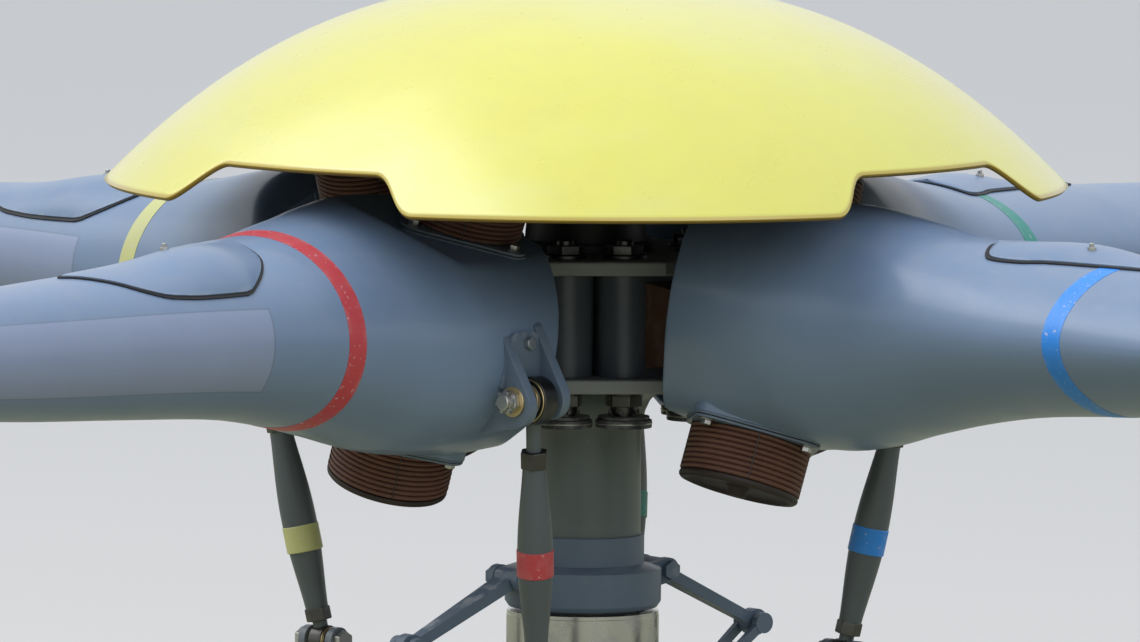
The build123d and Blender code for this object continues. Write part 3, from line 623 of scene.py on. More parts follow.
def skin_finish(tree, place, colour):
    """The limb's grey paint, with the lighter erosion tape round its leading edge and a fine edge line."""
    span = add(tree, "ShaderNodeAttribute", attribute_name="span").outputs["Fac"]
    lead = add(tree, "ShaderNodeAttribute", attribute_name="lead").outputs["Fac"]
    outboard = ramp(tree, span, 0.6205, 0.6235)
    round_nose = ramp(tree, lead, 0.880, 0.890)
    tape = times(tree, outboard, round_nose)
    near_end = times(tree, ramp(tree, span, 0.6195, 0.6215), ramp(tree, lead, 0.876, 0.884))
    line = minus(tree, near_end, tape)
    lighter = mix(tree, tape, tuple(colour), tuple(paints().tape))
    return mix(tree, times(tree, line, 0.5), lighter, (0.10, 0.11, 0.12, 1))


def cap_finish(tree, place, colour):
    """The cap's yellow with faint stains, paler streaks of painted reflection and painted shade along its
    lip.
    """
    edge = add(tree, "ShaderNodeAttribute", attribute_name="rim").outputs["Fac"]
    # A darker, more golden band a few millimetres in from the rim: painted shade under the rolled lip.
    lip = ramp(tree, edge, 0.006, 0.003)
    stains = ramp(tree, noise(tree, place, 9.0, 6.0), 0.50, 0.72, 0.0, 0.16)
    stained = mix(tree, stains, tuple(colour), (0.74, 0.60, 0.05, 1))
    # Paler streaks: painted reflections in the gloss paint.
    painted_reflection_streaks = ramp(tree, noise(tree, place, 2.6, 6.0, (1.0, 1.0, 3.0)), 0.48, 0.66, 0.0, 0.35)
    with_painted_reflections = mix(tree, painted_reflection_streaks, stained, (0.82, 0.77, 0.24, 1))
    return mix(tree, times(tree, lip, 0.8), with_painted_reflections, (0.60, 0.40, 0.012, 1))


def rubber(name, colour, roughness=0.55):
    """Moulded elastomer, with a bloom and fine grain."""
    name = "finish_" + name
    if name in bpy.data.materials:
        return bpy.data.materials[name]
    material, tree, shader, place = blank(name)
    bloom = ramp(tree, noise(tree, place, 22.0, 6.0), 0.40, 0.75, 0.0, 0.45)
    lighter = tuple(min(1.0, c * 1.7 + 0.01) for c in colour[:3]) + (1,)
    dull = mix(tree, bloom, tuple(colour), lighter)
    edge = ramp(tree, add(tree, "ShaderNodeNewGeometry").outputs["Pointiness"], 0.52, 0.62, 0.0, 0.5)
    tree.links.new(mix(tree, edge, dull, lighter), shader.inputs["Base Color"])
    tree.links.new(plus(tree, roughness, times(tree, bloom, 0.3)), shader.inputs["Roughness"])
    drop(tree, shader, noise(tree, place, 260.0, 3.0), 0.0004)
    return material


def metal(name, colour, roughness=0.32):
    """Bare or plated metal, with turning marks and stains."""
    name = "finish_" + name
    if name in bpy.data.materials:
        return bpy.data.materials[name]
    material, tree, shader, place = blank(name)
    marks = noise(tree, place, 90.0, 3.0, (1.0, 1.0, 14.0))
    stained = ramp(tree, noise(tree, place, 42.0, 6.0), 0.45, 0.70, 0.0, 0.25)
    darker = tuple(c * 0.35 for c in colour[:3]) + (1,)
    tree.links.new(mix(tree, stained, tuple(colour), darker), shader.inputs["Base Color"])
    rough = plus(tree, roughness, times(tree, stained, 0.5))
    tree.links.new(rough, shader.inputs["Roughness"])
    shader.inputs["Metallic"].default_value = 1.0
    drop(tree, shader, marks, 0.00008)
    return material


def tape_finish(tree, place, colour):
    """A band's colour with fine pale specks where it is worn through."""
    specks = ramp(tree, noise(tree, place, 210.0, 3.0), 0.64, 0.70, 0.0, 0.55)
    return mix(tree, specks, tuple(colour), (0.74, 0.68, 0.64, 1))


def band_tape(name, colour):
    """Worn coloured tape, speckled and dirty."""
    return painted(name, colour, 0.42, tone=0.08, scratches=0.25, edges=0.12, under=(0.62, 0.60, 0.56, 1),
                   dust=0.10, grime=0.12, finish=tape_finish)


# Settings.

def tint(label, words, default):
    """A colour that a user may change."""
    return FloatVectorProperty(name=label, description=words, default=default, size=4, min=0.0, max=1.0,
                               subtype="COLOR")


def size(label, words, default):
    """A length that a user may change."""
    return FloatProperty(name=label, description=words, default=default, min=0.0, unit="LENGTH")


def strength(label, words, default):
    """A light's strength that a user may change."""
    return FloatProperty(name=label, description=words, default=default, min=0.0)


class RotorPaints(bpy.types.PropertyGroup):
    """Colours of the rotor's finishes."""
    limb: tint("Limb", "Satin paint of cuffs and blades", (0.196, 0.270, 0.380, 1))
    tape: tint("Tape", "Erosion tape round a blade's leading edge", (0.285, 0.330, 0.450, 1))
    cap: tint("Cap", "Gloss paint of the hub cap", (0.80, 0.725, 0.085, 1))
    hub: tint("Hub", "Paint of the hub plates", (0.285, 0.298, 0.290, 1))
    lugs: tint("Lugs", "Dark finish of the blade lugs", (0.096, 0.112, 0.136, 1))
    mast: tint("Mast", "Paint of the mast", (0.150, 0.176, 0.174, 1))
    fittings: tint("Fittings", "Paint of horns and flanges", (0.140, 0.188, 0.250, 1))
    links: tint("Links", "Paint of the pitch links", (0.105, 0.121, 0.122, 1))
    elastomer: tint("Elastomer", "Rubber of the dampers", (0.130, 0.055, 0.034, 1))
    beam: tint("Flexbeam", "Bare composite of the flexbeams", (0.085, 0.036, 0.018, 1))
    housing: tint("Housing", "Paint of the mast housing", (0.33, 0.35, 0.36, 1))
    swashplate: tint("Swashplate", "Anodised metal of the swashplate", (0.16, 0.175, 0.19, 1))
    band_red: tint("Red band", "Band of blade 4", (0.60, 0.058, 0.066, 1))
    band_yellow: tint("Yellow band", "Band of blade 3", (0.65, 0.63, 0.24, 1))
    band_teal: tint("Teal band", "Band of blade 2", (0.035, 0.28, 0.22, 1))
    band_blue: tint("Blue band", "Band of blade 1", (0.030, 0.275, 0.80, 1))


class RotorLimbSizes(bpy.types.PropertyGroup):
    """Sizes of the cuffs, blades and what is fixed on their skins."""
    columns: IntProperty(name="Columns", description="Faces round a limb", default=96, min=24, max=192)
    wall: size("Wall", "Thickness of the cuff", 0.008)
    band_width: size("Band width", "Width of the coloured bands", 0.0225)
    band_thick: size("Band thickness", "Thickness of the coloured bands", 0.0004)
    cover_edge: size("Cover edge", "Height of a cover's edge over the skin", 0.0030)
    cover_crown: size("Cover crown", "Height of a cover's crown over the skin", 0.016)
    seal_width: size("Seal width", "Width of the seal round a cover", 0.0042)


class RotorDamperSizes(bpy.types.PropertyGroup):
    """Sizes of the lead-lag dampers."""
    ribs: IntProperty(name="Ribs", description="Ribs of a damper", default=9, min=3, max=20)
    rib_depth: size("Rib depth", "Depth of the grooves between ribs", 0.0032)
    mount: size("Mount thickness", "Thickness of the mount's two plates", 0.006)
    length: size("Length", "Length of the rubber", 0.046)


class RotorCapSizes(bpy.types.PropertyGroup):
    """Sizes of the hub cap."""
    shell: size("Shell", "Thickness of the cap", 0.005)
    steps: IntProperty(name="Steps", description="Faces round the cap", default=720, min=90, max=1080)


class RotorStage(bpy.types.PropertyGroup):
    """Floor, light and camera."""
    floor: tint("Floor", "Colour of the floor", (0.62, 0.565, 0.485, 1))
    bounce: tint("Bounce", "Colour of the light that the floor throws up", (0.32, 0.30, 0.18, 1))
    sky: strength("Surround", "Strength of the surrounding light", 1.02)
    key: strength("Key light", "Power of the large light", 300.0)
    back: strength("Back light", "Power of the light behind the cap", 110.0)
    fill: strength("Fill light", "Power of the second light", 70.0)
    distance: size("Camera distance", "Distance from camera to hub", 15.0)
    lens: FloatProperty(name="Lens", description="Focal length in millimetres", default=452.4, min=10.0)


def paints():
    """The rotor's colours in the scene."""
    return bpy.context.scene.rotor_paints


def limb_paint(name, finish=None):
    """The satin paint of the limbs and their covers."""
    return painted(name, paints().limb, 0.36, tone=0.05, scratches=0.22, edges=0.25, dust=0.12, grime=0.06,
                   coat=0.15, finish=finish)


def steel():
    return metal("steel", (0.52, 0.52, 0.50, 1), 0.30)


# A darkened copy of the steel: painted shade for the hub's bolts and nuts under the plates. The links' nuts
# use it too.
def dark_steel():
    return metal("dark_steel", (0.11, 0.107, 0.103, 1), 0.36)


def gilt():
    return metal("gilt_plating", (0.70, 0.56, 0.30, 1), 0.34)


def fitting_paint():
    return painted("fitting_paint", paints().fittings, 0.42, scratches=0.4, edges=0.25)


# Pieces.

def mouth_station(angle):
    """Where the cuff's open end stands at a section angle."""
    y = on_section(limb_row(MOUTH_SECTION), angle).x
    return CUFF_START + max(0.0, abs(y) - MOUTH_HALF) / MOUTH_SPREAD * MOUTH_REACH


def seat_angle(angle, row, x):
    """Moves the section angles so that one column follows each long edge of the damper's seat."""
    height, rise = row[2], row[3]
    corner = math.asin(min(0.99, (SEAT_Z - rise) / height))
    hold = clamped((SEAT_FREE - x) / (SEAT_FREE - SEAT_END))
    for centre, sign in ((SEAT_COLUMN, 1), (math.pi - SEAT_COLUMN, -1)):
        near = max(0.0, 1 - abs(angle - centre) / SEAT_SPREAD)
        angle += sign * (corner - SEAT_COLUMN) * near * hold
    return angle


def seated(point, x, inset):
    """Cuts the upper damper's flat seat into a cuff's skin, and fills its underside out to the lower one."""
    if x > FILL_END:
        return
    point.z = min(point.z, SEAT_Z + SEAT_RUN_OUT * max(0.0, x - SEAT_END) - inset)
    low = LOWER_RISE - SEAT_Z - (x - DAMPER_RADIAL) * math.tan(LOWER_TILT) + inset
    if low < point.z < 0:
        aside = smooth_step((abs(point.y) - FILL_SIDE) / FILL_SIDE_FADE)
        past = smooth_step((x - FILL_STATION) / FILL_STATION_FADE)
        point.z += (1 - aside) * (1 - past) * (low - point.z)


def skin_ring(columns, place):
    """The points of one ring of skin. place gives (station, inset) for a section angle."""
    points = []
    for j in range(columns):
        angle = 2 * math.pi * j / columns
        x, inset = place(angle)
        row = limb_row(x)
        moved = seat_angle(angle, row, x)
        point = limb_point(x, moved, inset, row)
        seated(point, x, inset)
        points.append((point, x, math.cos(angle)))
    return points


def skin_of_rings(columns, rings, closed=False):
    """A skin through rings of points, with its station and nose side kept as attributes."""
    shape = bmesh.new()
    span = shape.verts.layers.float.new("span")
    lead = shape.verts.layers.float.new("lead")
    bmesh.ops.create_circle(shape, segments=columns, radius=0.1, cap_ends=False)
    order = {vert: j for j, vert in enumerate(shape.verts)}
    first_edges = edges = list(shape.edges)
    for i, ring in enumerate(rings):
        if i:
            made = bmesh.ops.extrude_edge_only(shape, edges=edges)["geom"]
            fresh = verts_of(made)
            edges = [item for item in made
                     if isinstance(item, bmesh.types.BMEdge) and all(vert in fresh for vert in item.verts)]
            order = {vert: order[edge.other_vert(vert)] for vert in fresh for edge in vert.link_edges
                     if edge.other_vert(vert) in order}
        for vert, j in order.items():
            vert.co, vert[span], vert[lead] = ring[j]
    if closed:
        bmesh.ops.bridge_loops(shape, edges=first_edges + edges)
    else:
        bmesh.ops.holes_fill(shape, edges=first_edges + edges, sides=0)
    bmesh.ops.recalc_face_normals(shape, faces=shape.faces)
    return shape


def mouth_rings(columns, wall):
    """Rings from deep in the cuff, out over its rounded lip and along to the end of the damper's seat."""
    def inside(x):
        return lambda angle: (x, wall)

    def at_mouth(part, inset):
        def place(angle):
            start = mouth_station(angle)
            return start + part * (SEAT_END - start), inset
        return place

    def lip(turn):
        half = wall / 2
        back, inset = half * (1 - math.cos(turn)), half * (1 + math.sin(turn))
        return lambda angle: (mouth_station(angle) + back, inset)

    places = [inside(x) for x in (0.888, 0.80, 0.70, 0.62, 0.55, 0.50, 0.46, 0.43, 0.41, 0.39, 0.375, 0.36)]
    places += [at_mouth(part, wall) for part in (1.0, 0.8, 0.6, 0.4, 0.2, 0.08)]
    places += [lip(math.radians(turn)) for turn in range(90, -91, -30)]
    places += [at_mouth(part, 0.0) for part in (0.06, 0.12, 0.2, 0.3, 0.4, 0.5, 0.6, 0.7, 0.8, 0.9, 1.0)]
    return [skin_ring(columns, place) for place in places]


def outer_stations():
    """Stations of the skin's outer rings, close together where it curves most."""
    stations = [SEAT_END + 0.0008]
    for end, step in ((0.40, 0.0075), (0.66, 0.01), (0.90, 0.015), (1.70, 0.032), (4.56, 0.20), (5.04, 0.03)):
        start = stations[-1]
        count = max(1, round((end - start) / step))
        stations += [start + (end - start) * (i + 1) / count for i in range(count)]
    return stations + [5.07, 5.09, 5.0999]


def limb_shape(columns, wall):
    """One cuff and blade: the cuff's inside, its lip, and the skin out to the blade's tip."""
    rings = mouth_rings(columns, wall)
    rings += [skin_ring(columns, lambda angle, x=x: (x, 0.0)) for x in outer_stations()]
    return skin_of_rings(columns, rings)


class RotorMakeBlades(bpy.types.Operator):
    """Makes each blade with its cuff as one smooth hollow skin"""
    bl_idname = "rotor.make_blades"
    bl_label = "Blades and cuffs"

    def execute(self, context):
        sizes = context.scene.rotor_limb
        finish = limb_paint("blade_skin_paint", skin_finish)
        one = limb_shape(sizes.columns, sizes.wall)
        for k in range(BLADES):
            n = str(k + 1)
            limb = Piece("limb_" + n, finish).add(one.copy(), limb_frame(k))
            limb.add(mount_plate(SEAT_Z - BOSS_DEPTH, SEAT_Z, 0.0), damper_stand(k, True))
            limb.place("blade_" + n, "blade_paint", ["cuff_" + n, "blade_" + n], 40.0)
        one.free()
        return {"FINISHED"}


def plate_on_skin(rows, lift, columns=44, lanes=20, grow=0.0, lean=0.0, corner=0.016):
    """A plate that lies on a limb's skin, inside an outline of (station, first angle, last angle) rows.

    lift gives its height at a part of its length, a part of its width and a station. It may grow past the
    outline, lean with its width, and have rounder corners.
    """
    sunk, skin_radius = 0.0015, 0.10
    shape = bmesh.new()
    part = shape.verts.layers.float.new("part")
    cross = shape.verts.layers.float.new("cross")
    bmesh.ops.create_grid(shape, x_segments=columns, y_segments=lanes, size=1.0)
    first, last = rows[0][0] - grow, rows[-1][0] + grow

    def put(vert, under=False):
        s, v = vert[part], vert[cross]
        x = first + (last - first) * (0.5 - 0.5 * math.cos(math.pi * s))
        start, end = eased(rows, clamped(x, rows[0][0], rows[-1][0]))
        half = (end - start) / 2 + math.degrees(grow / skin_radius)
        inside = min(1.0, min(x - first, last - x) / corner)
        round_end = math.sqrt(max(0.0, 1 - (1 - inside) ** 2))
        angle = math.radians((start + end) / 2 + (2 * v - 1) * half * max(round_end, 0.04))
        x += lean * (v - 0.5)
        vert.co = limb_point(x, angle, sunk if under else -lift(s, v, x))

    for vert in shape.verts:
        vert[part], vert[cross] = (vert.co.x + 1) / 2, (vert.co.y + 1) / 2
        put(vert)
    made = bmesh.ops.extrude_face_region(shape, geom=list(shape.faces))["geom"]
    for vert in verts_of(made):
        put(vert, under=True)
    bmesh.ops.recalc_face_normals(shape, faces=shape.faces)
    return shape


def cover_lift(edge, crown):
    """Height of a cover over the skin: a low edge that swells to a crown at one station."""
    def lift(s, v, x):
        across = max(0.0, math.sin(math.pi * v)) ** 0.8
        length = math.exp(-((x - COVER_CROWN_STATION) / COVER_CROWN_LENGTH) ** 2)
        return edge + (crown - edge) * across * length
    return lift


class RotorMakeCovers(bpy.types.Operator):
    """Makes the raised cover on each cuff with its seal and screw"""
    bl_idname = "rotor.make_covers"
    bl_label = "Covers"

    def execute(self, context):
        sizes = context.scene.rotor_limb
        paint = limb_paint("cover_paint")
        seal = rubber("seal_rubber", (0.012, 0.012, 0.013, 1), 0.6)
        lift = cover_lift(sizes.cover_edge, sizes.cover_crown)
        top = limb_point(*COVER_SCREW, -COVER_SCREW_LIFT)
        foot = limb_point(*COVER_SCREW)
        for k in range(BLADES):
            n = str(k + 1)
            cover = Piece("cover_" + n, paint, seal, steel())
            cover.add(plate_on_skin(COVER_ROWS, lift, corner=0.024), limb_frame(k))
            edge = plate_on_skin(COVER_ROWS, lambda s, v, x: sizes.cover_edge * 0.6, grow=sizes.seal_width,
                                 corner=0.024)
            cover.add(edge, limb_frame(k), 1)
            stand = limb_frame(k) @ along(top, 2 * top - foot)
            cover.add(small_screw(0.0085, 0.0062, 0.003), stand, 2)
            cover.add(shank(0.0026, 0.0060, 0.0105), stand, 2)
            cover.place("blade_" + n, "cuff_paint")
        return {"FINISHED"}


class RotorMakeBands(bpy.types.Operator):
    """Makes the coloured band round each cuff"""
    bl_idname = "rotor.make_bands"
    bl_label = "Colour bands"

    def execute(self, context):
        sizes = context.scene.rotor_limb
        for k, (middle, colour, _) in enumerate(BANDS):
            half, outer, inner = sizes.band_width / 2, -sizes.band_thick, 0.001
            section = ((-half, inner), (-half, outer), (-half / 3, outer), (half / 3, outer), (half, outer),
                       (half, inner))
            rings = [skin_ring(sizes.columns, lambda angle, x=middle + off, inset=inset: (x, inset))
                     for off, inset in section]
            finish = band_tape(colour, getattr(paints(), colour))
            band = Piece("colour_band_" + str(k + 1), finish)
            band.add(skin_of_rings(sizes.columns, rings, closed=True), limb_frame(k))
            band.place("blade_" + str(k + 1))
        return {"FINISHED"}


def damper_rubber(sizes, length):
    """One damper's ribbed rubber, standing on the mount."""
    low = SEAT_Z + sizes.mount
    pitch = length / sizes.ribs
    groove = DAMPER_R - sizes.rib_depth
    rows = [(0, low)]
    for k in range(sizes.ribs):
        z = low + k * pitch
        rows += [(groove, z), (DAMPER_R - 0.0008, z + 0.16 * pitch), (DAMPER_R, z + 0.40 * pitch),
                 (DAMPER_R - 0.0004, z + 0.66 * pitch), (DAMPER_R - 0.0014, z + 0.84 * pitch)]
    rows += [(groove, low + length), (0, low + length)]
    return turned(rows, 96)


def damper_seams(sizes, length):
    """The four fine mould lines down a damper's rubber."""
    low = SEAT_Z + sizes.mount
    inner, outer = DAMPER_R - sizes.rib_depth - 0.001, DAMPER_R + 0.0001
    seams = bmesh.new()
    half = 0.0006
    for k in range(4):
        line = slab([(inner, -half), (outer, -half), (outer, half), (inner, half)], low, low + length - 0.001)
        merge(seams, line, Matrix.Rotation(math.radians(90 * k - 47), 4, "Z"))
    return seams


def damper_end():
    """The dished end plate with its round rim and centre boss."""
    return turned([(0, 0.170), (0.0615, 0.170), (0.0630, 0.1710), (0.0636, 0.1728), (0.0630, 0.1752),
                   (0.0610, 0.1770), (0.0580, 0.1776), (0.0548, 0.1768), (0.0520, 0.1750), (0.0470, 0.1738),
                   (0.0240, 0.1732), (0.0150, 0.1736), (0.0120, 0.1748), (0.0106, 0.1770), (0.0100, 0.1820),
                   (0.0088, 0.1836), (0.0060, 0.1840), (0, 0.1840)], 96)


def mount_plate(low, high, inset):
    """One layer of a damper's mount."""
    circles = [(x, y, MOUNT_CORNER_R - inset) for x, y in MOUNT_CORNERS]
    return soften(rounded_slab(circles, low, high, 48), 0.0007, 2, 45.0)


class RotorMakeDampers(bpy.types.Operator):
    """Makes the two lead-lag dampers of each cuff"""
    bl_idname = "rotor.make_dampers"
    bl_label = "Dampers"

    def execute(self, context):
        sizes = context.scene.rotor_damper
        elastomer = rubber("damper_elastomer", paints().elastomer)
        plate = painted("mount_paint", paints().fittings, 0.34, scratches=0.5, edges=0.4, grime=0.3)
        end = rubber("damper_end_coat", (0.024, 0.014, 0.011, 1), 0.52)
        # The mount's layers: start and end over the seat, inset and finish.
        layers = ((0.0, 0.0025, 0.0, 0), (0.0020, 0.0036, 0.0020, 1), (0.0034, sizes.mount, 0.0008, 0))
        for k in range(BLADES):
            n = str(k + 1)
            pads = Piece("damper_pads_" + n, elastomer)
            mounts = Piece("damper_mounts_" + n, plate, end, steel())
            for lower in (False, True):
                stand = damper_stand(k, lower)
                longer = LOWER_LONGER if lower else 0.0
                pads.add(damper_rubber(sizes, sizes.length + longer), stand)
                mounts.add(damper_seams(sizes, sizes.length + longer), stand, 1)
                for low, high, inset, finish in layers:
                    mounts.add(mount_plate(SEAT_Z + low, SEAT_Z + high, inset), stand, finish)
                mounts.add(damper_end(), stand @ at(z=longer), 1)
                for corner in (-1, 0, 1):
                    spot = stand @ Matrix.Rotation(math.radians(90 * corner), 4, "Z")
                    spot = spot @ at(MOUNT_SCREW_RADIAL, 0, SEAT_Z + sizes.mount)
                    mounts.add(small_screw(0.0110, 0.0075), spot, 2)
            pads.place("blade_" + n, "damper_rubber", ["damper_rubber_" + n])
            mounts.place("blade_" + n, "damper_plate", ["damper_plates_" + n])
        return {"FINISHED"}


class RotorMakeHorns(bpy.types.Operator):
    """Makes the pitch horn of each cuff, with its pad, lugs, bolt and nut"""
    bl_idname = "rotor.make_horns"
    bl_label = "Pitch horns"

    def execute(self, context):
        x, y, z = HORN_PIVOT
        outline = ((y, z, LUG_PIN_R),) + LUG_FEET
        leaning = at(x, 0, z) @ Matrix.Rotation(LUG_LEAN, 4, "Y") @ at(-x, 0, -z)
        for k in range(BLADES):
            n = str(k + 1)
            horn = Piece("horn_fitting_" + n, fitting_paint(), gilt(), steel())
            horn.add(plate_on_skin(PAD_ROWS, lambda s, v, x: PAD_HEIGHT, 24, 12, lean=0.018), limb_frame(k))
            for middle in (x - LUG_OFFSET, x + LUG_OFFSET):
                lug = soften(rounded_slab(outline, middle - LUG_HALF, middle + LUG_HALF), 0.0012)
                horn.add(lug, limb_frame(k) @ leaning @ ACROSS)
            turn = limb_frame(k) @ at(0, y, z) @ Matrix.Rotation(math.pi / 2, 4, "Y")
            horn.add(shank(0.008, x - 0.042, x + 0.050), turn, 2)
            horn.add(washer(0.0155, 0.008, x + 0.031, x + 0.0345), turn, 1)
            horn.add(castle_nut(0.022, x + 0.0345, x + 0.047), turn, 2)
            horn.add(washer(0.0145, 0.008, x - 0.0335, x - 0.031), turn, 1)
            horn.add(prism(0.022, x - 0.041, x - 0.0335), turn, 1)
            for side, angle in PAD_SCREWS:
                spot = limb_point(x + side, angle, -PAD_HEIGHT)
                out = limb_point(x + side, angle, -PAD_HEIGHT - 0.01)
                horn.add(prism(0.012, 0, 0.006, chamfer=0.0008), limb_frame(k) @ along(spot, out), 2)
            horn.place("blade_" + n, "horn_metal", ["horn_" + n])
        return {"FINISHED"}


def link_tube(length):
    """A pitch link's rod, with a tube between its nuts that is thickest half way."""
    near, steps = 0.012, 24
    rows = [(0, near), (LINK_NECK_R, near), (LINK_NECK_R, LINK_START)]
    for i in range(steps + 1):
        swell = math.sin(math.pi * i / steps) ** 1.3
        rows.append((LINK_END_R + LINK_SWELL * swell, LINK_START + (LINK_END - LINK_START) * i / steps))
    far = length - 0.008
    rows += [(LINK_NECK_R, LINK_END + LOWER_NUT), (LINK_NECK_R, far), (0, far)]
    return turned(rows, 48)


class RotorMakeLinks(bpy.types.Operator):
    """Makes the pitch links with their rod ends, nuts and colour bands"""
    bl_idname = "rotor.make_links"
    bl_label = "Pitch links"

    def execute(self, context):
        paint = painted("link_paint", paints().links, 0.40, scratches=0.5, edges=0.04)
        cream = painted("race_liner", (0.62, 0.55, 0.38, 1), 0.5)
        top = limb_frame(0) @ HORN_PIVOT
        length = (LINK_FOOT - top).length
        for k, (_, colour, down) in enumerate(BANDS):
            n = str(k + 1)
            tape = band_tape(colour, getattr(paints(), colour))
            link = Piece("control_link_" + n, paint, dark_steel(), gilt(), cream, tape)
            run = quarter(k) @ along(top, LINK_FOOT)
            link.add(link_tube(length), run)
            link.add(prism(0.026, LINK_START - UPPER_NUT, LINK_START), run, 1)
            link.add(prism(0.024, LINK_END, LINK_END + LOWER_NUT), run, 1)
            link.add(washer(0.0192, 0.012, down, down + LINK_BAND), run, 4)
            across = Matrix.Rotation(math.pi / 2, 4, "Y")
            upper = limb_frame(k) @ at(*HORN_PIVOT) @ across
            lower = quarter(k) @ at(*LINK_FOOT) @ across
            for place, eye, race, ball, bore, half in ((upper, 0.025, 0.018, 0.0145, 0.0083, 0.010),
                                                       (lower, 0.016, 0.0125, 0.0110, 0.0087, 0.008)):
                link.add(washer(eye, race, -half, half), place, 1)
                link.add(washer(race, ball, 0.002 - half, half - 0.002), place, 3)
                link.add(washer(ball, bore, -half, half), place, 2)
                link.add(washer(eye - 0.002, eye - 0.004, -half - 0.0006, half + 0.0006), place, 2)
            link.place("link_" + n, "link_paint", ["link_" + n])
        return {"FINISHED"}


class RotorMakeHub(bpy.types.Operator):
    """Makes the hub's plates, lugs, flexbeams, bolts and weights"""
    bl_idname = "rotor.make_hub"
    bl_label = "Hub"

    def execute(self, context):
        plate = painted("hub_paint", paints().hub, 0.45, scratches=0.5, edges=0.6)
        for side in ("lower", "upper"):
            dressed("hub_plate_" + side, side + "_plate", plate, "rotor", "hub_paint", 0.0015)
        lugs = painted("lug_finish", paints().lugs, 0.34, under=(0.25, 0.26, 0.27, 1), dust=0.1)
        dressed("hub_core", "core_tube", lugs, "rotor", "hub_paint")
        dressed("root_lugs", "blade_lugs", lugs, "rotor", "lug_metal", 0.003)
        beam = painted("beam_composite", paints().beam, 0.5, tone=0.15, scratches=0.3, edges=0.2)
        dressed("flexbeams", "root_beams", beam, "rotor", "flexbeam_composite", 0.003)
        # The bolts and nuts take the darkened steel, as painted shade.
        bolts = Piece("hub_bolts", dark_steel())
        weights = Piece("weights", painted("weight_paint", (0.05, 0.05, 0.052, 1), 0.35, dust=0.1), steel())
        high = HUB_Z + UPPER_PLATE_Z + PLATE_THICK
        low = HUB_Z + LOWER_PLATE_Z
        head = high + BOLT_WASHER
        for k in range(BLADES):
            for side in (-BOLT_SIDE, BOLT_SIDE):
                stand = quarter(k) @ at(BOLT_RADIAL, side)
                bolts.add(shank(BOLT_R, low - 0.030, high + 0.006), stand)
                bolts.add(washer(BOLT_WASHER_R, BOLT_R, high, head), stand)
                bolts.add(prism(BOLT_ACROSS, head, head + 0.010), stand)
                bolts.add(shank(0.0090, head + 0.009, head + 0.015), stand)
                bolts.add(washer(BOLT_WASHER_R, BOLT_R, low - BOLT_WASHER, low), stand)
                bolts.add(castle_nut(BOLT_ACROSS, 0, 0.020), stand @ at(z=low - BOLT_WASHER) @ FLIP)
                weights.add(washer(0.0270, DISC_BORE_R, low - 0.0300, low - 0.0262), stand)
                weights.add(washer(0.0295, DISC_BORE_R, low - 0.0385, low - 0.030), stand)
                weights.add(washer(0.0300, 0.0280, low - 0.0345, low - 0.0325), stand, 1)
                weights.add(shank(0.0070, low - 0.0400, low - 0.029), stand, 1)
        bolts.place("rotor", "plated_bolt", ["blade_bolts"])
        weights.place("rotor", "disc_steel", ["balance_discs"])
        return {"FINISHED"}


def cap_height(radius):
    """Height of the cap over the hub's centre: a dome, flatter on top than a ball."""
    return CAP_TOP_Z - (CAP_TOP_Z - CAP_RIM_Z) * (radius / CAP_RIM_R) ** CAP_POWER


def cap_rim(azimuth):
    """Radius of the cap's rim at an azimuth: the rim rises over each blade, so it stands further in there."""
    off = (azimuth + math.pi / 4) % (math.pi / 2) - math.pi / 4
    radius = CAP_RIM_R
    # Radius and height of the rim hang together, and a few rounds settle them.
    for _ in range(4):
        side = abs(radius * math.sin(off))
        part = smooth_step((NOTCH_RIM_HALF - side) / (NOTCH_RIM_HALF - NOTCH_TOP_HALF))
        height = CAP_RIM_Z + (NOTCH_TOP_Z - CAP_RIM_Z) * part
        radius = CAP_RIM_R * ((CAP_TOP_Z - height) / (CAP_TOP_Z - CAP_RIM_Z)) ** (1 / CAP_POWER)
    return radius


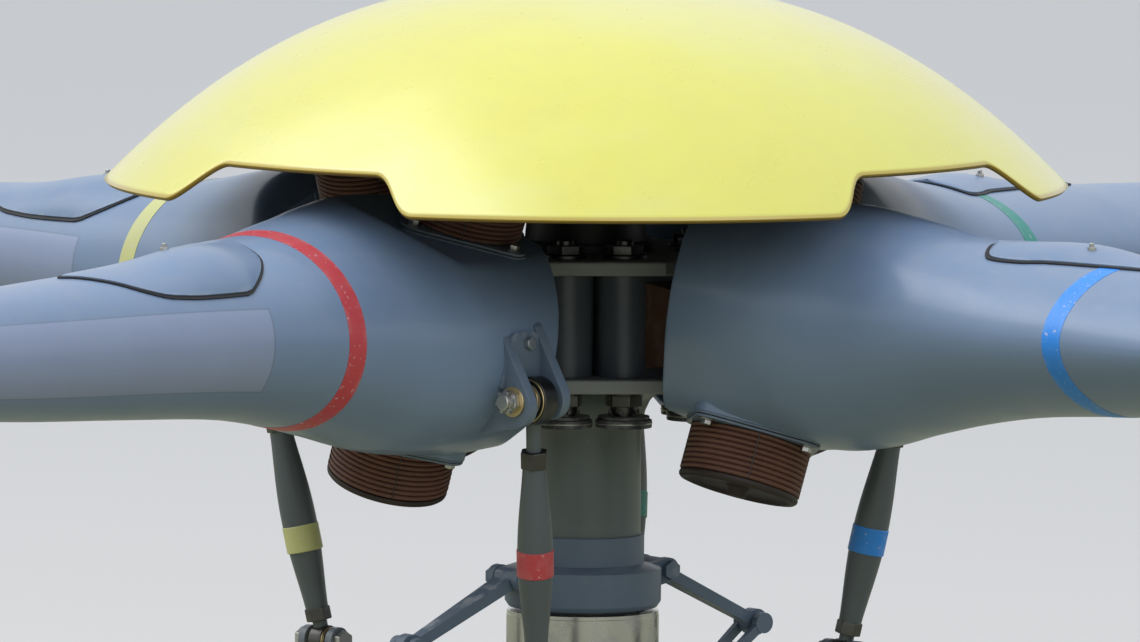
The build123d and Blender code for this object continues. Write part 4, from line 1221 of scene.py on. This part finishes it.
class RotorMakeCap(bpy.types.Operator):
    """Makes the domed hub cap with a notch over each blade, and its stand"""
    bl_idname = "rotor.make_cap"
    bl_label = "Hub cap"

    def execute(self, context):
        sizes = context.scene.rotor_cap
        shape = bmesh.new()
        verts = [shape.verts.new((i / CAP_ROWS, 0, 0)) for i in range(CAP_ROWS + 1)]
        edges = [shape.edges.new(pair) for pair in zip(verts, verts[1:])]
        bmesh.ops.spin(shape, geom=verts + edges, cent=(0, 0, 0), axis=(0, 0, 1), angle=2 * math.pi,
                       steps=sizes.steps, use_merge=True)
        bmesh.ops.remove_doubles(shape, verts=shape.verts, dist=1e-7)
        rim = shape.verts.layers.float.new("rim")
        for vert in shape.verts:
            azimuth = math.atan2(vert.co.y, vert.co.x)
            full = cap_rim(azimuth)
            out = full * (1 - (1 - vert.co.xy.length) ** 1.25)
            vert[rim] = math.hypot(full - out, cap_height(out) - cap_height(full))
            vert.co = (out * math.cos(azimuth), out * math.sin(azimuth), HUB_Z + cap_height(out))
        bmesh.ops.recalc_face_normals(shape, faces=shape.faces)
        finish = painted("cap_paint", paints().cap, 0.30, tone=0.03, scratches=0.10, edges=0.0,
                         under=(0.80, 0.74, 0.30, 1), dust=0.05, grime=0.0, coat=1.0, finish=cap_finish)
        gloss = finish.node_tree.nodes["Principled BSDF"].inputs
        gloss["Coat IOR"].default_value = 1.8
        gloss["Coat Roughness"].default_value = 0.24
        # The shell's inside is painted near black: painted shade under the cap.
        inside = painted("cap_lining", (0.045, 0.046, 0.043, 1), 0.6)
        # The shell's rim faces take a dark golden paint: painted shade on the rolled lip.
        edge = painted("cap_edge_paint", (0.30, 0.185, 0.010, 1), 0.4, edges=0.0, dust=0.0)
        cap = Piece("rotor_cap", finish, inside, edge).add(shape)
        cap = cap.place("rotor", "cap_paint", ["hub_cap"], 50.0)
        wall = cap.modifiers.new("Shell", "SOLIDIFY")
        wall.thickness = sizes.shell
        wall.offset = -1.0
        wall.material_offset = 1
        wall.material_offset_rim = 2
        cap.modifiers.move(1, 0)
        stand = painted("stand_composite", (0.03, 0.03, 0.032, 1), 0.5)
        dressed("cap_support", "cap_stand", stand, "rotor", "support_composite")
        return {"FINISHED"}


class RotorMakeMast(bpy.types.Operator):
    """Makes the mast and the collar that drives the scissors"""
    bl_idname = "rotor.make_mast"
    bl_label = "Mast"

    def execute(self, context):
        low = MAST_BOTTOM_Z
        top = HUB_Z + LOWER_PLATE_Z
        rows = [(MAST_BORE_R, low), (0.050, low), (0.0535, low + 0.004), (0.054, low + 0.006),
                (0.054, -0.006), (MAST_R, 0), (MAST_R, 0.660), (0.0610, 0.676), (0.0640, 0.690),
                (0.0690, 0.701), (0.0760, 0.7085), (0.0850, 0.712), (0.0880, 0.714), (0.0880, top - 0.001),
                (0.0870, top), (MAST_BORE_R, top)]
        finish = painted("mast_paint", paints().mast, 0.38, tone=0.10, scratches=0.9, edges=0.08, dust=0.2,
                         grime=0.15)
        Piece("mast_tube", finish).add(turned(rows, 128)).place("rotor", "mast_paint", ["mast"])
        collar = painted("collar_paint", paints().fittings, 0.42, scratches=0.8, edges=0.7, dust=0.25)
        dressed("driver_collar", "scissors_collar", collar, "rotor", "collar_metal")
        return {"FINISHED"}


class RotorMakeSwashplate(bpy.types.Operator):
    """Makes the swashplate, its sleeve, scissors and collective lever"""
    bl_idname = "rotor.make_swashplate"
    bl_label = "Swashplate"

    def execute(self, context):
        alloy = painted("swashplate_finish", paints().swashplate, 0.36, scratches=0.4, edges=0.6)
        bright = metal("bearing_steel", (0.60, 0.60, 0.58, 1), 0.25)
        arm = painted("scissors_paint", paints().fittings, 0.42, scratches=0.6, edges=0.7)
        dressed("turning_ring", "link_ring", alloy, "swashplate_turning", "swashplate_metal")
        dressed("ring_pins", "link_ring_pins", steel(), "swashplate_turning", "plated_bolt", 0.0006)
        dressed("fixed_ring", "control_ring", alloy, "swashplate_fixed", "swashplate_metal")
        dressed("ring_bearing", "ring_race", bright, "swashplate_fixed", "bearing_steel", 0.0005)
        dressed("sliding_sleeve", "ball_sleeve", bright, "swashplate_fixed", "sliding_steel", 0.0008)
        for n in ("1", "2"):
            dressed("scissor_upper_" + n, "upper_arm_" + n, arm, "scissor_upper_" + n, "scissor_metal")
            dressed("scissor_lower_" + n, "lower_arm_" + n, arm, "scissor_lower_" + n, "scissor_metal")
        dressed("collective_lever", "lift_fork", arm, "collective_lever", "lever_paint")
        return {"FINISHED"}


class RotorMakeHousing(bpy.types.Operator):
    """Makes the mast housing, its guide tube, bearings and bracket"""
    bl_idname = "rotor.make_housing"
    bl_label = "Mast housing"

    def execute(self, context):
        cast = painted("housing_paint", paints().housing, 0.5, tone=0.1, scratches=0.3, edges=0.6, dust=0.3,
                       relief=0.0005)
        bright = metal("guide_steel", (0.58, 0.58, 0.56, 1), 0.22)
        dressed("mast_housing", "housing_casting", cast, "housing", "housing_paint", 0.0015)
        dressed("guide_tube", "slide_tube", bright, "housing", "sliding_steel")
        dressed("mast_bearings", "mast_races", bright, "housing", "bearing_steel", 0.0006)
        dressed("lever_bracket", "lever_stand", cast, "housing", "housing_paint")
        return {"FINISHED"}


def shown_rays(tree):
    """1 for what the camera sees, straight or through gloss or glass."""
    rays = add(tree, "ShaderNodeLightPath").outputs
    seen = larger(tree, rays["Is Camera Ray"], rays["Is Glossy Ray"])
    return larger(tree, seen, rays["Is Transmission Ray"])


def soft_lamp(name, spot, target, width, power):
    """A large square lamp that shines at a target."""
    lamp = bpy.data.lights.new(name, "AREA")
    lamp.size = width
    lamp.energy = power
    holder = bpy.data.objects.new(name, lamp)
    holder.location = spot
    holder.rotation_euler = (Vector(target) - Vector(spot)).to_track_quat("-Z", "Y").to_euler()
    bpy.context.scene.collection.objects.link(holder)


class RotorMakeStage(bpy.types.Operator):
    """Makes the pale floor, the soft lamps and the camera"""
    bl_idname = "rotor.make_stage"
    bl_label = "Stage"

    def execute(self, context):
        scene = context.scene
        stage = scene.rotor_stage
        scene.view_settings.view_transform = "Standard"

        material, tree, shader, place = blank("floor_finish")
        tone = ramp(tree, noise(tree, place, 0.7, 4.0), 0.3, 0.7, 0.0, 0.06)
        pale = tuple(c * 1.05 for c in stage.floor[:3]) + (1,)
        shown = mix(tree, tone, tuple(stage.floor), pale)
        direct = add(tree, "ShaderNodeLightPath").outputs["Is Camera Ray"]
        tree.links.new(mix(tree, direct, tuple(stage.bounce), shown), shader.inputs["Base Color"])
        shader.inputs["Roughness"].default_value = 0.9
        floor = bmesh.new()
        level = at(z=MAST_BOTTOM_Z - FLOOR_GAP)
        bmesh.ops.create_grid(floor, x_segments=2, y_segments=2, size=FLOOR_HALF, matrix=level)
        mesh = bpy.data.meshes.new("floor")
        floor.to_mesh(mesh)
        floor.free()
        mesh.materials.append(material)
        ground = bpy.data.objects.new("floor", mesh)
        scene.collection.objects.link(ground)

        world = bpy.data.worlds.new("surround")
        world.use_nodes = True
        sky = world.node_tree
        sky.nodes.clear()
        direction = add(sky, "ShaderNodeTexCoord").outputs["Generated"]
        up = add(sky, "ShaderNodeSeparateXYZ", {0: direction}).outputs["Z"]
        lit = mix(sky, ramp(sky, up, 0.05, 0.65), (0.20, 0.21, 0.21, 1), (0.96, 1.10, 1.36, 1))
        light = add(sky, "ShaderNodeBackground", {"Color": lit, "Strength": stage.sky})
        seen = add(sky, "ShaderNodeBackground", {"Color": (0.80, 0.81, 0.82, 1), "Strength": 1.0})
        both = add(sky, "ShaderNodeMixShader", {0: shown_rays(sky), 1: light.outputs[0], 2: seen.outputs[0]})
        sky.links.new(both.outputs[0], add(sky, "ShaderNodeOutputWorld").inputs[0])
        scene.world = world

        hub = (0, 0, HUB_Z)
        soft_lamp("key_lamp", (-3.0, -4.5, 9.5), hub, 7.0, stage.key)
        soft_lamp("back_lamp", (-5.6, -2.0, 7.3), hub, 6.0, stage.back)
        soft_lamp("fill_lamp", (7.5, -2.5, 5.0), hub, 6.0, stage.fill)

        lens = bpy.data.cameras.new("camera")
        lens.lens = stage.lens
        lens.sensor_width = 36.0
        lens.clip_start = 0.5
        lens.clip_end = 2000.0
        azimuth, elevation, roll = math.radians(40.0), math.radians(5.1), math.radians(0.45)
        aside, raised = -0.0157, 0.0031
        back = Vector((math.sin(azimuth) * math.cos(elevation), -math.cos(azimuth) * math.cos(elevation),
                       math.sin(elevation)))
        right = Vector((math.cos(azimuth), math.sin(azimuth), 0))
        aim = Vector(hub) + right * aside + back.cross(right) * raised
        camera = bpy.data.objects.new("camera", lens)
        camera.location = aim + back * stage.distance
        camera.rotation_mode = "QUATERNION"
        turn = (-back).to_track_quat("-Z", "Y")
        camera.rotation_quaternion = turn @ Matrix.Rotation(roll, 3, "Z").to_quaternion()
        scene.collection.objects.link(camera)
        scene.camera = camera
        return {"FINISHED"}


class RotorPanel(bpy.types.Panel):
    """Lists the rotor's makers and their settings"""
    bl_idname = "VIEW3D_PT_rotor"
    bl_label = "Main rotor"
    bl_space_type = "VIEW_3D"
    bl_region_type = "UI"
    bl_category = "Rotor"

    def draw(self, context):
        for maker in MAKERS:
            self.layout.operator(maker.bl_idname)
        for holder, group in SETTINGS.items():
            box = self.layout.box()
            box.label(text=group.__doc__.rstrip("."))
            for name in group.__annotations__:
                box.prop(getattr(context.scene, holder), name)


MAKERS = (RotorMakeStage, RotorMakeBlades, RotorMakeCovers, RotorMakeBands, RotorMakeDampers, RotorMakeHorns,
          RotorMakeLinks, RotorMakeHub, RotorMakeCap, RotorMakeMast, RotorMakeSwashplate, RotorMakeHousing)
SETTINGS = {
    "rotor_paints": RotorPaints,
    "rotor_limb": RotorLimbSizes,
    "rotor_damper": RotorDamperSizes,
    "rotor_cap": RotorCapSizes,
    "rotor_stage": RotorStage,
}


def register():
    for group in SETTINGS.values():
        bpy.utils.register_class(group)
    for name, group in SETTINGS.items():
        setattr(bpy.types.Scene, name, PointerProperty(type=group))
    for maker in MAKERS + (RotorPanel,):
        bpy.utils.register_class(maker)


def unregister():
    for maker in (RotorPanel,) + MAKERS[::-1]:
        bpy.utils.unregister_class(maker)
    for name in SETTINGS:
        delattr(bpy.types.Scene, name)
    for group in SETTINGS.values():
        bpy.utils.unregister_class(group)


def main():
    register()
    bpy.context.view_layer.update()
    for maker in MAKERS:
        group, action = maker.bl_idname.split(".")
        getattr(getattr(bpy.ops, group), action)()


if __name__ == "__main__":
    main()
